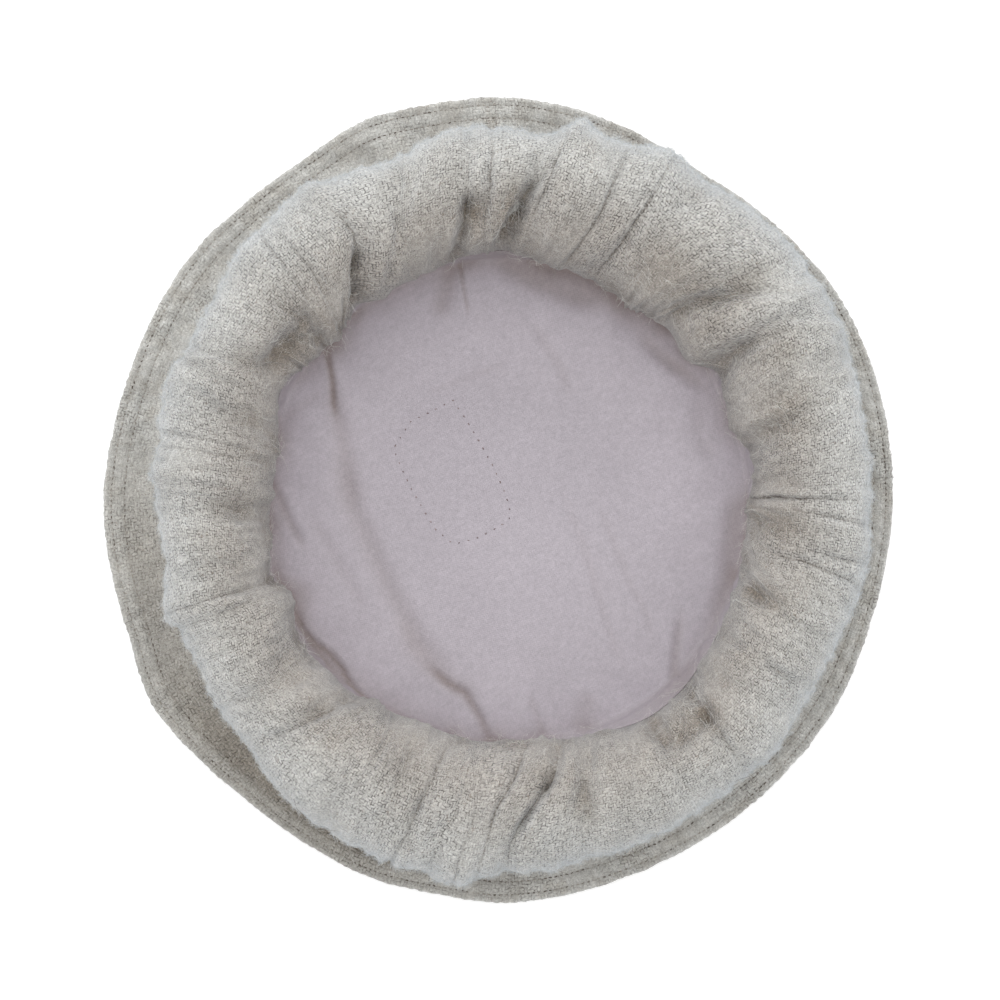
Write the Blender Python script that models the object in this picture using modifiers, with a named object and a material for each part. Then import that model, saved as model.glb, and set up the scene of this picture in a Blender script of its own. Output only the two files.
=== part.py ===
"""A pakol: a flat round wool hat whose deep edge is rolled up into a thick ring.

The hat lies upside down, flat on its crown, with the mouth open upward. The crown's outer face is at
height 0, and the origin is under the middle of the hat. Azimuths are degrees from +X towards +Y.
"""
import math
from typing import NamedTuple

import bmesh
import bpy
from mathutils import Vector

MM = 0.001
HAT = "pakol"

# Cloth and seams
WOOL = 2.6 * MM
COTTON = 1.0 * MM
SEAT = 0.3 * MM
LINING_EASE = 0.9 * MM

# Heights above the surface that the hat lies on
RIM_RISE = 1.4 * MM
RIM_TOP = RIM_RISE + 2.0 * WOOL + SEAT
BAND_TOP = 2.0 * WOOL + 2.0 * SEAT
NECK_HEIGHT = 15.5 * MM
ROLL_HEIGHT = 42.5 * MM
ROLL_HALF_HEIGHT = 22.5 * MM
LINING_FLOOR = 6.4 * MM
LINING_CORNER = 9.5 * MM

# Radii about the middle of the mouth, which lies a little to one side of the crown's
MOUTH_CENTRE = (2.3 * MM, -0.4 * MM)
NECK_RADIUS = 91.2 * MM

# The roll: how the cloth winds in, by the degrees turned from the mouth's side over the top
WALL_TURN = -20.0
TUCK_TURN = 230.0
INNER_TURN = 345.0
TUCK_INSET = 5.4 * MM
TURN_INSET = 1.8 * MM
PUFF = 1.0 * MM
COIL_FOLD_SHARE = 0.7
DEGREES_PER_COLUMN_PAIR = 9.2

# How far a fold's depth takes to grow from its start, and to fade on the mouth's side, in degrees
FOLD_GROWS = 35.0
FOLD_FADES_FROM = 150.0
FOLD_FADES_OVER = 60.0

CROWN_SEGMENTS = 64
SHARP_EDGE = math.radians(50)

# The undyed wool in its three shades, and the lining, as linear red, green and blue
BRIM_COLOUR = (0.38, 0.37, 0.34)
CROWN_COLOUR = (0.33, 0.32, 0.29)
UNDERSIDE_COLOUR = (0.31, 0.29, 0.26)
LINING_COLOUR = (0.46, 0.42, 0.45)
WOOL_ROUGHNESS = 0.95
COTTON_ROUGHNESS = 0.8


class Edge(NamedTuple):
    """One reading of an outline."""

    azimuth: float  # degrees
    radius: float  # mm


class Roll(NamedTuple):
    """The roll's outer side and mouth side at one azimuth."""

    azimuth: float  # degrees
    outer: float  # mm
    inner: float  # mm


class Fold(NamedTuple):
    """A crease or hollow across the roll."""

    outer: float  # azimuth where it crosses the outer side, degrees
    top: float  # azimuth where it crosses the top
    inner: float  # azimuth where it crosses the mouth's side
    depth: float  # mm
    width: float  # how far it reaches to each side, degrees
    start: float  # where it begins: 0 is the outer side, 90 the top


class Station(NamedTuple):
    """The height of a surface at a share of the way across it."""

    share: float
    height: float  # m


class Pull(NamedTuple):
    """A ridge, or with a negative rise a dent, along a straight stretch of the lining."""

    x0: float  # mm
    y0: float
    x1: float
    y1: float
    rise: float
    width: float


CROWN_EDGE = (
    Edge(0, 144.0), Edge(30, 145.1), Edge(40, 143.6), Edge(50, 142.2), Edge(60, 141.4), Edge(70, 144.0),
    Edge(80, 146.2), Edge(90, 147.7), Edge(110, 148.0), Edge(120, 144.0), Edge(140, 144.4), Edge(160, 143.6),
    Edge(180, 145.5), Edge(200, 144.7), Edge(210, 147.7), Edge(220, 145.5), Edge(230, 144.0), Edge(250, 146.2),
    Edge(270, 147.7), Edge(290, 145.5), Edge(310, 144.7), Edge(330, 144.7), Edge(350, 143.3),
)

ROLL_EDGE = (
    Roll(0, 127.1, 84.7), Roll(9, 127.1, 87.5), Roll(18, 128.5, 83.0), Roll(25, 130.6, 84.0),
    Roll(31, 132.4, 86.5), Roll(38, 133.0, 80.2), Roll(45, 133.0, 82.3), Roll(57, 133.0, 80.5),
    Roll(64, 135.9, 81.9), Roll(68, 133.8, 82.6), Roll(75, 131.3, 83.7), Roll(79, 135.2, 84.0),
    Roll(83, 129.6, 84.7), Roll(90, 129.6, 89.3), Roll(97, 130.6, 87.9), Roll(108, 126.4, 85.1),
    Roll(115, 126.4, 84.0), Roll(122, 131.7, 83.3), Roll(127, 128.9, 85.8), Roll(136, 128.2, 81.9),
    Roll(145, 124.3, 84.4), Roll(153, 124.0, 88.2), Roll(163, 125.7, 83.3), Roll(175, 124.0, 81.6),
    Roll(185, 121.5, 83.0), Roll(198, 125.0, 86.5), Roll(204, 121.9, 81.6), Roll(213, 122.9, 89.0),
    Roll(222, 124.7, 87.5), Roll(230, 128.2, 87.5), Roll(240, 130.3, 84.0), Roll(250, 133.1, 83.3),
    Roll(257, 132.0, 84.4), Roll(262, 135.2, 84.2), Roll(270, 129.5, 83.7), Roll(282, 128.2, 85.1),
    Roll(292, 127.5, 87.5), Roll(303, 126.4, 91.3), Roll(312, 127.8, 91.0), Roll(325, 126.0, 87.9),
    Roll(337, 125.0, 86.1), Roll(346, 127.5, 85.1), Roll(353, 127.5, 84.4),
)

FOLDS = (
    Fold(0.3, 0.3, 0.3, 1.4, 3.0, 10),
    Fold(15.0, 15.0, 15.0, 3.0, 8.0, 95),
    Fold(32.0, 33.0, 34.0, 3.2, 6.0, 75),
    Fold(39.5, 44.0, 49.5, 3.4, 5.0, 30),
    Fold(56.5, 57.0, 58.0, 1.6, 5.0, 60),
    Fold(64.0, 65.0, 70.0, 2.6, 3.5, 5),
    Fold(70.5, 71.5, 77.0, 2.6, 3.5, 5),
    Fold(80.0, 82.0, 87.0, 4.6, 5.5, 15),
    Fold(92.5, 94.5, 96.5, 4.6, 5.5, 85),
    Fold(107.0, 109.0, 111.0, 2.0, 5.0, 70),
    Fold(121.5, 120.0, 127.0, 4.4, 5.0, 5),
    Fold(131.0, 131.0, 131.5, 1.6, 2.5, 10),
    Fold(134.0, 134.5, 136.5, 2.0, 3.0, 5),
    Fold(144.0, 144.5, 145.0, 5.4, 8.5, 90),
    Fold(156.0, 156.5, 157.0, 1.6, 4.0, 70),
    Fold(162.0, 162.0, 162.0, 1.4, 4.0, 60),
    Fold(169.0, 169.0, 169.0, 1.6, 4.0, 45),
    Fold(180.0, 180.0, 180.0, 3.0, 7.0, 100),
    Fold(198.3, 198.3, 198.3, 2.6, 3.0, 10),
    Fold(202.0, 202.0, 202.0, 1.8, 3.0, 30),
    Fold(216.0, 217.0, 219.0, 3.4, 7.0, 80),
    Fold(225.0, 226.5, 231.0, 3.0, 4.5, 60),
    Fold(241.0, 242.0, 243.0, 2.0, 4.5, 35),
    Fold(248.0, 248.5, 249.0, 1.2, 3.0, 50),
    Fold(252.0, 253.5, 256.0, 2.6, 3.5, 5),
    Fold(258.5, 260.0, 262.0, 1.6, 3.0, 30),
    Fold(264.0, 267.0, 273.0, 3.0, 3.5, 5),
    Fold(268.5, 272.0, 279.0, 4.2, 5.5, 15),
    Fold(283.0, 285.5, 288.0, 3.2, 4.5, 60),
    Fold(309.0, 311.0, 312.0, 5.0, 9.0, 85),
    Fold(328.0, 328.0, 328.0, 1.6, 5.0, 90),
    Fold(336.0, 338.0, 341.0, 1.8, 5.0, 70),
    Fold(346.0, 348.0, 352.0, 3.0, 4.0, 15),
    Fold(354.5, 356.5, 358.0, 3.0, 3.5, 30),
)

# The lining's pulls, about the middle of the crown
PULLS = (
    Pull(-60, 18, -33, -36, 2.2, 9), Pull(-33, -36, -8, -80, 2.2, 9), Pull(-62, 58, -56, 25, -1.2, 7),
    Pull(-15, 84, -14, 70, 2.4, 8), Pull(-80, 4, -73, -18, -1.0, 7), Pull(-75, -47, -56, -66, -1.2, 7),
    Pull(67, -42, 62, -68, 1.8, 9), Pull(29, -14, 41, -54, 1.4, 10), Pull(18, 55, 34, 27, 1.4, 10),
    Pull(61, 50, 73, 27, 1.6, 9), Pull(15, -84, 16, -72, 2.2, 8),
)

# The crown's outer face from the rim to the middle, and the underside's upper face from the rim to the neck
CROWN_TOP = (Station(1.0, RIM_RISE), Station(0.965, 0.35 * RIM_RISE), Station(0.92, 0.0), Station(0.5, 0.0))
UNDERSIDE = (
    Station(0.0, RIM_TOP), Station(0.1, RIM_TOP - 0.4 * MM), Station(0.22, BAND_TOP), Station(0.4, 7.6 * MM),
    Station(0.62, 10.4 * MM), Station(0.82, 13.6 * MM), Station(0.93, NECK_HEIGHT - SEAT),
    Station(1.0, NECK_HEIGHT - SEAT),
)
LINING_SHARES = (0.955, 0.84, 0.6, 0.32)

# Stations round the roll on the cloth's outer face, and on its hidden back, in degrees turned
SEEN_TURNS = tuple(range(-20, 215, 13))
UNDER_TURNS = (236, 262, 290, 315)
COILED_TURNS = tuple(range(340, 541, 40))
BACK_TURNS = tuple(range(540, -21, -40))
WALL_STATIONS = (1.0, 0.6, 0.3)


def smooth(value):
    """Rises gently from 0 at 0 to 1 at 1, and stays level outside."""
    value = min(max(value, 0.0), 1.0)
    return value * value * (3.0 - 2.0 * value)


def around(table, column, azimuth):
    """Reads a closed outline between its rows, along a smooth curve through them."""
    count = len(table)
    azimuth = azimuth % 360.0
    row = max(index for index in range(count) if table[index].azimuth <= azimuth)

    def knot(index):
        turns, place = divmod(index, count)
        return table[place].azimuth + 360.0 * turns, getattr(table[place], column) * MM

    (x0, y0), (x1, y1), (x2, y2), (x3, y3) = (knot(row + offset) for offset in (-1, 0, 1, 2))
    step = x2 - x1
    slope1 = (y2 - y0) / (x2 - x0)
    slope2 = (y3 - y1) / (x3 - x1)
    t = (azimuth - x1) / step
    bend = (t - 1.0) * slope1 + t * slope2 - (2.0 * t - 1.0) * (y2 - y1) / step
    return y1 + (y2 - y1) * t + step * t * (t - 1.0) * bend


def crown_point(azimuth, share, height):
    """A point on the crown, at a share of the way from its middle to its edge."""
    radius = around(CROWN_EDGE, "radius", azimuth) * share
    angle = math.radians(azimuth)
    return Vector((radius * math.cos(angle), radius * math.sin(angle), height))


def mouth_point(azimuth, radius, height):
    """A point at a radius about the middle of the mouth."""
    angle = math.radians(azimuth)
    across, along = MOUTH_CENTRE
    return Vector((across + radius * math.cos(angle), along + radius * math.sin(angle), height))


class Column:
    """One section across the roll, on a fold or between two neighbouring folds."""

    def __init__(self, before, after, share):
        """Stands at a share of the way from one fold to the next, which may lie past 360 degrees."""
        wrap = 360.0 if after.top < before.top else 0.0
        self.outer = before.outer + (after.outer + wrap - before.outer) * share
        self.top = before.top + (after.top + wrap - before.top) * share
        self.inner = before.inner + (after.inner + wrap - before.inner) * share
        gap = after.top + wrap - before.top
        self.near = ((before, share * gap), (after, (1.0 - share) * gap))
        self.puff = PUFF * math.sin(math.pi * share) * min(1.0, gap / 12.0)

    def azimuth(self, theta):
        """Follows the fold's slant: theta is 0 on the outer side, 90 on top and 180 in the mouth."""
        angle = math.radians(theta)
        middle = (self.outer + self.inner) / 2.0
        slant = (self.outer - self.inner) / 2.0
        return middle + slant * math.cos(angle) + (self.top - middle) * max(0.0, math.sin(angle))

    def drop(self, theta):
        """How far the folds draw the cloth in at one angle round the roll."""
        theta = (theta + 90.0) % 360.0 - 90.0
        fade = 1.0 - smooth((theta - FOLD_FADES_FROM) / FOLD_FADES_OVER)
        total = -self.puff * max(0.0, math.sin(math.radians(theta)))
        for fold, distance in self.near:
            grown = smooth((theta - fold.start + FOLD_GROWS) / FOLD_GROWS)
            lobe = 1.0 - smooth(distance / fold.width)
            total += fold.depth * MM * lobe * grown * fade
        return total


def winding(turned):
    """How far the cloth's outer face lies inside the roll's outline after so many degrees."""
    tuck = TUCK_INSET * smooth((turned - TUCK_TURN) / (INNER_TURN - TUCK_TURN))
    return tuck + TURN_INSET * max(0.0, turned - INNER_TURN) / 360.0


def roll_point(column, turned, behind=0.0):
    """A point of the rolled cloth, or so far behind its outer face."""
    theta = 180.0 - turned
    angle = math.radians(theta)
    outer = around(ROLL_EDGE, "outer", column.outer)
    inner = around(ROLL_EDGE, "inner", column.inner)
    folded = column.drop(theta) * (COIL_FOLD_SHARE if turned > INNER_TURN else 1.0)
    inset = winding(turned) + behind + folded
    radius = (outer + inner) / 2.0 + ((outer - inner) / 2.0 - inset) * math.cos(angle)
    height = ROLL_HEIGHT + (ROLL_HALF_HEIGHT - inset) * math.sin(angle)
    return mouth_point(column.azimuth(theta), radius, height)


def wall_point(column, share, behind=0.0):
    """A point of the wall between the roll, at share 0, and the neck seam, at share 1."""
    start = roll_point(column, WALL_TURN, behind)
    middle = mouth_point(0.0, 0.0, 0.0)
    start_radius = (start - middle).to_2d().length
    radius = start_radius + (NECK_RADIUS + behind - start_radius) * smooth(share)
    height = start.z + (NECK_HEIGHT - start.z) * share
    return mouth_point(column.azimuth(180.0 - WALL_TURN), radius, height)


def roll_columns():
    """The sections of the roll: one on each fold, and an odd number between neighbours."""
    columns = []
    for index, before in enumerate(FOLDS):
        after = FOLDS[(index + 1) % len(FOLDS)]
        gap = (after.top - before.top) % 360.0
        steps = 2 * math.ceil(gap / DEGREES_PER_COLUMN_PAIR)
        columns += [Column(before, after, step / steps) for step in range(steps)]
    return columns


def brim_outline(column):
    """The closed outline of the rolled cloth in one section, and which of its points show."""
    wall = [wall_point(column, share) for share in WALL_STATIONS]
    seen = [roll_point(column, turned) for turned in SEEN_TURNS]
    under = [roll_point(column, turned) for turned in UNDER_TURNS + COILED_TURNS]
    back = [roll_point(column, turned, WOOL) for turned in BACK_TURNS]
    back += [wall_point(column, share, WOOL) for share in reversed(WALL_STATIONS)]
    points = wall + seen + under + back
    shows = [False] * len(wall) + [True] * len(seen) + [False] * (len(under) + len(back))
    return points, shows


def loft_brim(mesh):
    """Lofts the closed outlines; where the cloth is hidden, every second section is left out."""
    outlines = [brim_outline(column) for column in roll_columns()]
    shows = outlines[0][1]
    verts = []
    for index, (points, _) in enumerate(outlines):
        kept = [show or index % 2 == 0 for show in shows]
        verts.append([mesh.verts.new(point) if keep else None for point, keep in zip(points, kept)])
    for index in range(0, len(verts), 2):
        first, between, second = (verts[(index + offset) % len(verts)] for offset in range(3))
        for place in range(len(shows)):
            following = (place + 1) % len(shows)
            seam = (first[place], between[place], second[place])
            edge = (second[following], between[following], first[following])
            if all(seam + edge):
                mesh.faces.new((seam[0], seam[1], edge[1], edge[2]))
                mesh.faces.new((seam[1], seam[2], edge[0], edge[1]))
            else:
                mesh.faces.new([vert for vert in seam + edge if vert])


def loft_rings(mesh, rings):
    """Joins rings of points in order; a ring of one point closes the surface with a fan."""
    previous = None
    for ring in rings:
        current = [mesh.verts.new(point) for point in ring]
        if previous is not None:
            count = max(len(previous), len(current))
            for index in range(count):
                following = (index + 1) % count
                corners = [previous[index], previous[following], current[following], current[index]] \
                    if len(current) > 1 else [previous[index], previous[following], current[0]]
                mesh.faces.new(corners)
        previous = current


def crown_top_rings():
    """The flat outer face of the crown, curling up a little at the rim."""
    azimuths = [360.0 * index / CROWN_SEGMENTS for index in range(CROWN_SEGMENTS)]
    rings = [[crown_point(azimuth, *station) for azimuth in azimuths] for station in CROWN_TOP]
    return rings + [[Vector((0.0, 0.0, 0.0))]]


def crown_underside_rings(columns):
    """The upper face of the ring of cloth, from the rim in to the neck."""
    rings = []
    for share, height in UNDERSIDE:
        ring = []
        for column in columns:
            azimuth = column.azimuth(180.0)
            edge = crown_point(azimuth, 1.0, height)
            neck = mouth_point(azimuth, NECK_RADIUS, height)
            ring.append(edge.lerp(neck, share))
        rings.append(ring)
    return rings


def lining_height(x, y, share):
    """The lining's height over the crown, with its pulls, at a share of the way out to the neck."""
    height = LINING_FLOOR + (LINING_CORNER - LINING_FLOOR) * share ** 4
    for pull in PULLS:
        start = Vector((pull.x0, pull.y0)) * MM
        along = Vector((pull.x1, pull.y1)) * MM - start
        spot = Vector((x, y)) - start
        nearest = along * min(max(spot.dot(along) / along.length_squared, 0.0), 1.0)
        reach = (spot - nearest).length / (pull.width * MM)
        height += pull.rise * MM * (1.0 - smooth(reach))
    return height


def lining_rings(columns):
    """The inner face of the lining, from its top edge down the neck and over the crown."""
    inside = -(COTTON + LINING_EASE)
    rings = [[wall_point(column, share, inside) for column in columns] for share in reversed(WALL_STATIONS)]
    corner = NECK_RADIUS + inside
    for share in LINING_SHARES:
        ring = []
        for column in columns:
            point = mouth_point(column.azimuth(180.0 - WALL_TURN), corner * share, 0.0)
            point.z = lining_height(point.x, point.y, share)
            ring.append(point)
        rings.append(ring)
    middle = mouth_point(0.0, 0.0, 0.0)
    middle.z = lining_height(middle.x, middle.y, 0.0)
    return rings + [[middle]]


def cloth_material(name, colour, roughness):
    """A plain cloth finish."""
    material = bpy.data.materials.new(name)
    material.use_nodes = True
    shader = material.node_tree.nodes["Principled BSDF"]
    shader.inputs["Base Color"].default_value = (*colour, 1.0)
    shader.inputs["Roughness"].default_value = roughness
    shader.inputs["Metallic"].default_value = 0.0
    material.diffuse_color = (*colour, 1.0)
    return material


def add_object(name, build, material, collection, parent):
    """Makes one named piece from a function that fills an empty mesh."""
    mesh = bmesh.new()
    build(mesh)
    bmesh.ops.recalc_face_normals(mesh, faces=mesh.faces)
    data = bpy.data.meshes.new(name)
    mesh.to_mesh(data)
    mesh.free()
    data.materials.append(material)
    data.shade_smooth()
    data.set_sharp_from_angle(angle=SHARP_EDGE)
    piece = bpy.data.objects.new(name, data)
    piece.parent = parent
    collection.objects.link(piece)
    return piece


def thicken(piece, facing_up, thickness):
    """Gives an open surface the cloth's thickness behind the face that it shows."""
    mesh = bmesh.new()
    mesh.from_mesh(piece.data)
    innermost = min(mesh.faces, key=lambda face: face.calc_center_median().xy.length)
    if (innermost.normal.z > 0.0) != facing_up:
        bmesh.ops.reverse_faces(mesh, faces=mesh.faces)
    mesh.to_mesh(piece.data)
    mesh.free()
    solidify = piece.modifiers.new("cloth", "SOLIDIFY")
    solidify.thickness = thickness
    solidify.offset = -1.0
    solidify.use_even_offset = True


def hat_middle():
    """The middle of the crown's outline, seen from above."""
    points = [crown_point(360.0 * index / CROWN_SEGMENTS, 1.0, 0.0) for index in range(CROWN_SEGMENTS)]
    return tuple((min(point[axis] for point in points) + max(point[axis] for point in points)) / 2.0
                 for axis in (0, 1))


def main():
    """Builds the hat's pieces under one empty."""
    for item in list(bpy.data.objects):
        bpy.data.objects.remove(item)
    collection = bpy.data.collections.new(HAT)
    bpy.context.scene.collection.children.link(collection)
    frame = bpy.data.objects.new("hat_frame", None)
    collection.objects.link(frame)
    middle = hat_middle()
    frame.location = (-middle[0], -middle[1], 0.0)

    brim_wool = cloth_material("brim_wool", BRIM_COLOUR, WOOL_ROUGHNESS)
    crown_wool = cloth_material("crown_wool", CROWN_COLOUR, WOOL_ROUGHNESS)
    underside_wool = cloth_material("underside_wool", UNDERSIDE_COLOUR, WOOL_ROUGHNESS)
    lining_cotton = cloth_material("lining_cotton", LINING_COLOUR, COTTON_ROUGHNESS)

    hidden_columns = roll_columns()[::2]
    crown = add_object("crown_top", lambda mesh: loft_rings(mesh, crown_top_rings()),
                       crown_wool, collection, frame)
    thicken(crown, False, WOOL)
    underside = add_object("crown_underside",
                           lambda mesh: loft_rings(mesh, crown_underside_rings(hidden_columns)),
                           underside_wool, collection, frame)
    thicken(underside, True, WOOL)
    add_object("rolled_brim", loft_brim, brim_wool, collection, frame)
    lining = add_object("lining", lambda mesh: loft_rings(mesh, lining_rings(hidden_columns)),
                        lining_cotton, collection, frame)
    thicken(lining, True, COTTON)


main()
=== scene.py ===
"""A pakol lying upside down on its flat crown: wool cloth, cotton lining, stitches and loose wool.

Shapes are worked out in millimetres and put into the meshes in metres. Azimuths are degrees from +X towards
+Y about the middle of the mouth. An angle round the roll, theta, is 0 on its outer side, 90 on its top and 180
on the mouth's side.
"""

import logging
import math
from dataclasses import dataclass
from enum import Enum
from functools import cached_property
from typing import NamedTuple, Sequence

import bpy
import numpy as np
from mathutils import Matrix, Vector


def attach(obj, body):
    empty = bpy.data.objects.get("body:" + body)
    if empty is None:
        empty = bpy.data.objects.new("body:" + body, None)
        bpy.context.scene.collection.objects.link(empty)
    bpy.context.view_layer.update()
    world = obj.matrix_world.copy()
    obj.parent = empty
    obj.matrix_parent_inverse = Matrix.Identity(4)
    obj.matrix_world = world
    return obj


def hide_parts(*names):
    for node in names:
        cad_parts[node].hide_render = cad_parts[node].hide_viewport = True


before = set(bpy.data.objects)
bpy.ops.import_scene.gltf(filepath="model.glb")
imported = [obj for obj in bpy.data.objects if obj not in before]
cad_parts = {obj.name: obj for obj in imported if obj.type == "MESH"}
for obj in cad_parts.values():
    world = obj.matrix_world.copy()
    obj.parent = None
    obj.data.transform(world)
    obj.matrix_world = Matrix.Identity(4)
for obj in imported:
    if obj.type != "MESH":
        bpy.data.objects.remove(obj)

Colour = tuple[float, float, float]

MM = 0.001
UV_UNIT = 100.0  # mm of cloth for one unit of its UV map
CLOTH_MAP = "cloth"
CHART_SHIFT = 200.0  # mm, which keeps the map of a round cloth above zero
WOOL = 2.6  # thickness, mm
NECK_RADIUS = 91.2
WAVE_RADIUS = 107.0  # where the lengths of waves round the hat are measured, mm
WAVE_COUNT = 28
WHITE = (1.0, 1.0, 1.0)
GREY = (0.5, 0.5, 0.5)
ORIGIN = (0.0, 0.0, 0.0)
SOCKETS = {float: "NodeSocketFloat", int: "NodeSocketInt", tuple: "NodeSocketVector",
           type(None): "NodeSocketGeometry"}
LOG = logging.getLogger("pakol")


class Weave(Enum):
    """The ways in which the hat's cloths are woven."""

    TWILL = "twill weave"
    PLAIN = "plain weave"


class Outline(NamedTuple):
    """A closed outline: its radius at a few azimuths, with a smooth curve through them."""

    azimuths: tuple[float, ...]
    radii: tuple[float, ...]

    def radius(self, azimuth: np.ndarray) -> np.ndarray:
        """Reads the outline.

        Args:
            azimuth: Degrees, of any shape.

        Returns:
            The radius at each azimuth, in mm.
        """
        count = len(self.azimuths)
        turns, place = np.divmod(np.arange(-1, count + 2), count)
        places = np.array(self.azimuths)[place] + 360.0 * turns
        values = np.array(self.radii)[place]
        azimuth = np.mod(azimuth, 360.0)
        row = np.searchsorted(self.azimuths, azimuth, side="right")
        (x0, y0), (x1, y1), (x2, y2), (x3, y3) = ((places[row + k], values[row + k]) for k in range(-1, 3))
        step = x2 - x1
        slope1 = (y2 - y0) / (x2 - x0)
        slope2 = (y3 - y1) / (x3 - x1)
        t = (azimuth - x1) / step
        bend = (t - 1.0) * slope1 + t * slope2 - (2.0 * t - 1.0) * (y2 - y1) / step
        return y1 + (y2 - y1) * t + step * t * (t - 1.0) * bend


class Crease(NamedTuple):
    """A crease across the roll, read at the angles in CREASE_THETAS."""

    path: tuple[float, ...]  # azimuths
    depth: tuple[float, ...]  # mm
    before: float  # reach towards smaller azimuths, mm
    after: float  # reach towards larger azimuths, mm


class Hollow(NamedTuple):
    """A rounded hollow in the roll."""

    azimuth: float
    theta: float
    half_azimuth: float
    half_theta: float
    depth: float  # mm
    roof: float  # how near its upper edge is, as a share of half_theta
    brown_shading: float  # how strong the brown shade painted in it is, from 0 to 1


class Pull(NamedTuple):
    """A pull in the lining along a line, which fades at both ends."""

    line: tuple[tuple[float, float], ...]  # mm about the middle of the hat
    width: float
    depth: float
    shade: float  # how dark its painted shade is, from 0 to 1


CROWN_EDGE = Outline(
    (0, 30, 40, 50, 60, 70, 80, 90, 100, 110, 120, 132, 140, 160, 167, 175, 180, 200, 210, 220, 230, 244, 250, 262,
     270, 290, 310, 330, 340, 350),
    (144.0, 145.1, 143.6, 142.0, 141.1, 143.7, 146.2, 147.6, 147.2, 147.6, 144.0, 143.4, 144.3, 143.4, 143.7, 144.6,
     145.2, 144.7, 147.7, 145.5, 143.8, 144.9, 146.1, 146.2, 147.5, 145.5, 144.7, 144.4, 143.2, 143.3),
)
ROLL_AZIMUTHS = (
    0, 9, 18, 25, 31, 38, 45, 57, 61, 64, 68, 75, 79, 83, 90, 97, 108, 115, 119, 122, 127, 136, 145, 153, 163, 175,
    185, 194, 198, 204, 213, 222, 230, 240, 250, 257, 262, 270, 282, 292, 303, 312, 325, 337, 346, 353,
)
ROLL_OUTER = Outline(ROLL_AZIMUTHS, (
    127.1, 127.1, 128.5, 130.6, 132.4, 133.0, 133.0, 131.9, 132.4, 135.6, 133.6, 131.3, 135.2, 129.6, 129.6, 130.8,
    126.0, 125.6, 127.0, 131.4, 128.9, 127.8, 123.8, 123.6, 125.0, 122.8, 121.3, 121.4, 125.0, 121.9, 122.4, 124.0,
    127.4, 129.9, 132.8, 132.0, 135.2, 129.5, 128.2, 127.5, 126.4, 127.4, 125.6, 125.0, 127.5, 127.5,
))
ROLL_INNER = Outline(ROLL_AZIMUTHS, (
    84.7, 87.5, 83.0, 84.0, 86.5, 80.2, 82.3, 80.5, 81.3, 81.9, 82.6, 83.7, 84.0, 84.7, 87.6, 87.0, 85.1, 84.0,
    83.7, 83.3, 85.8, 81.9, 84.4, 88.2, 83.3, 81.6, 83.0, 85.2, 86.5, 81.6, 87.6, 86.2, 86.0, 83.6, 83.3, 84.4,
    84.2, 83.7, 85.1, 87.5, 91.3, 91.0, 87.9, 86.1, 85.1, 84.4,
))

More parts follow.
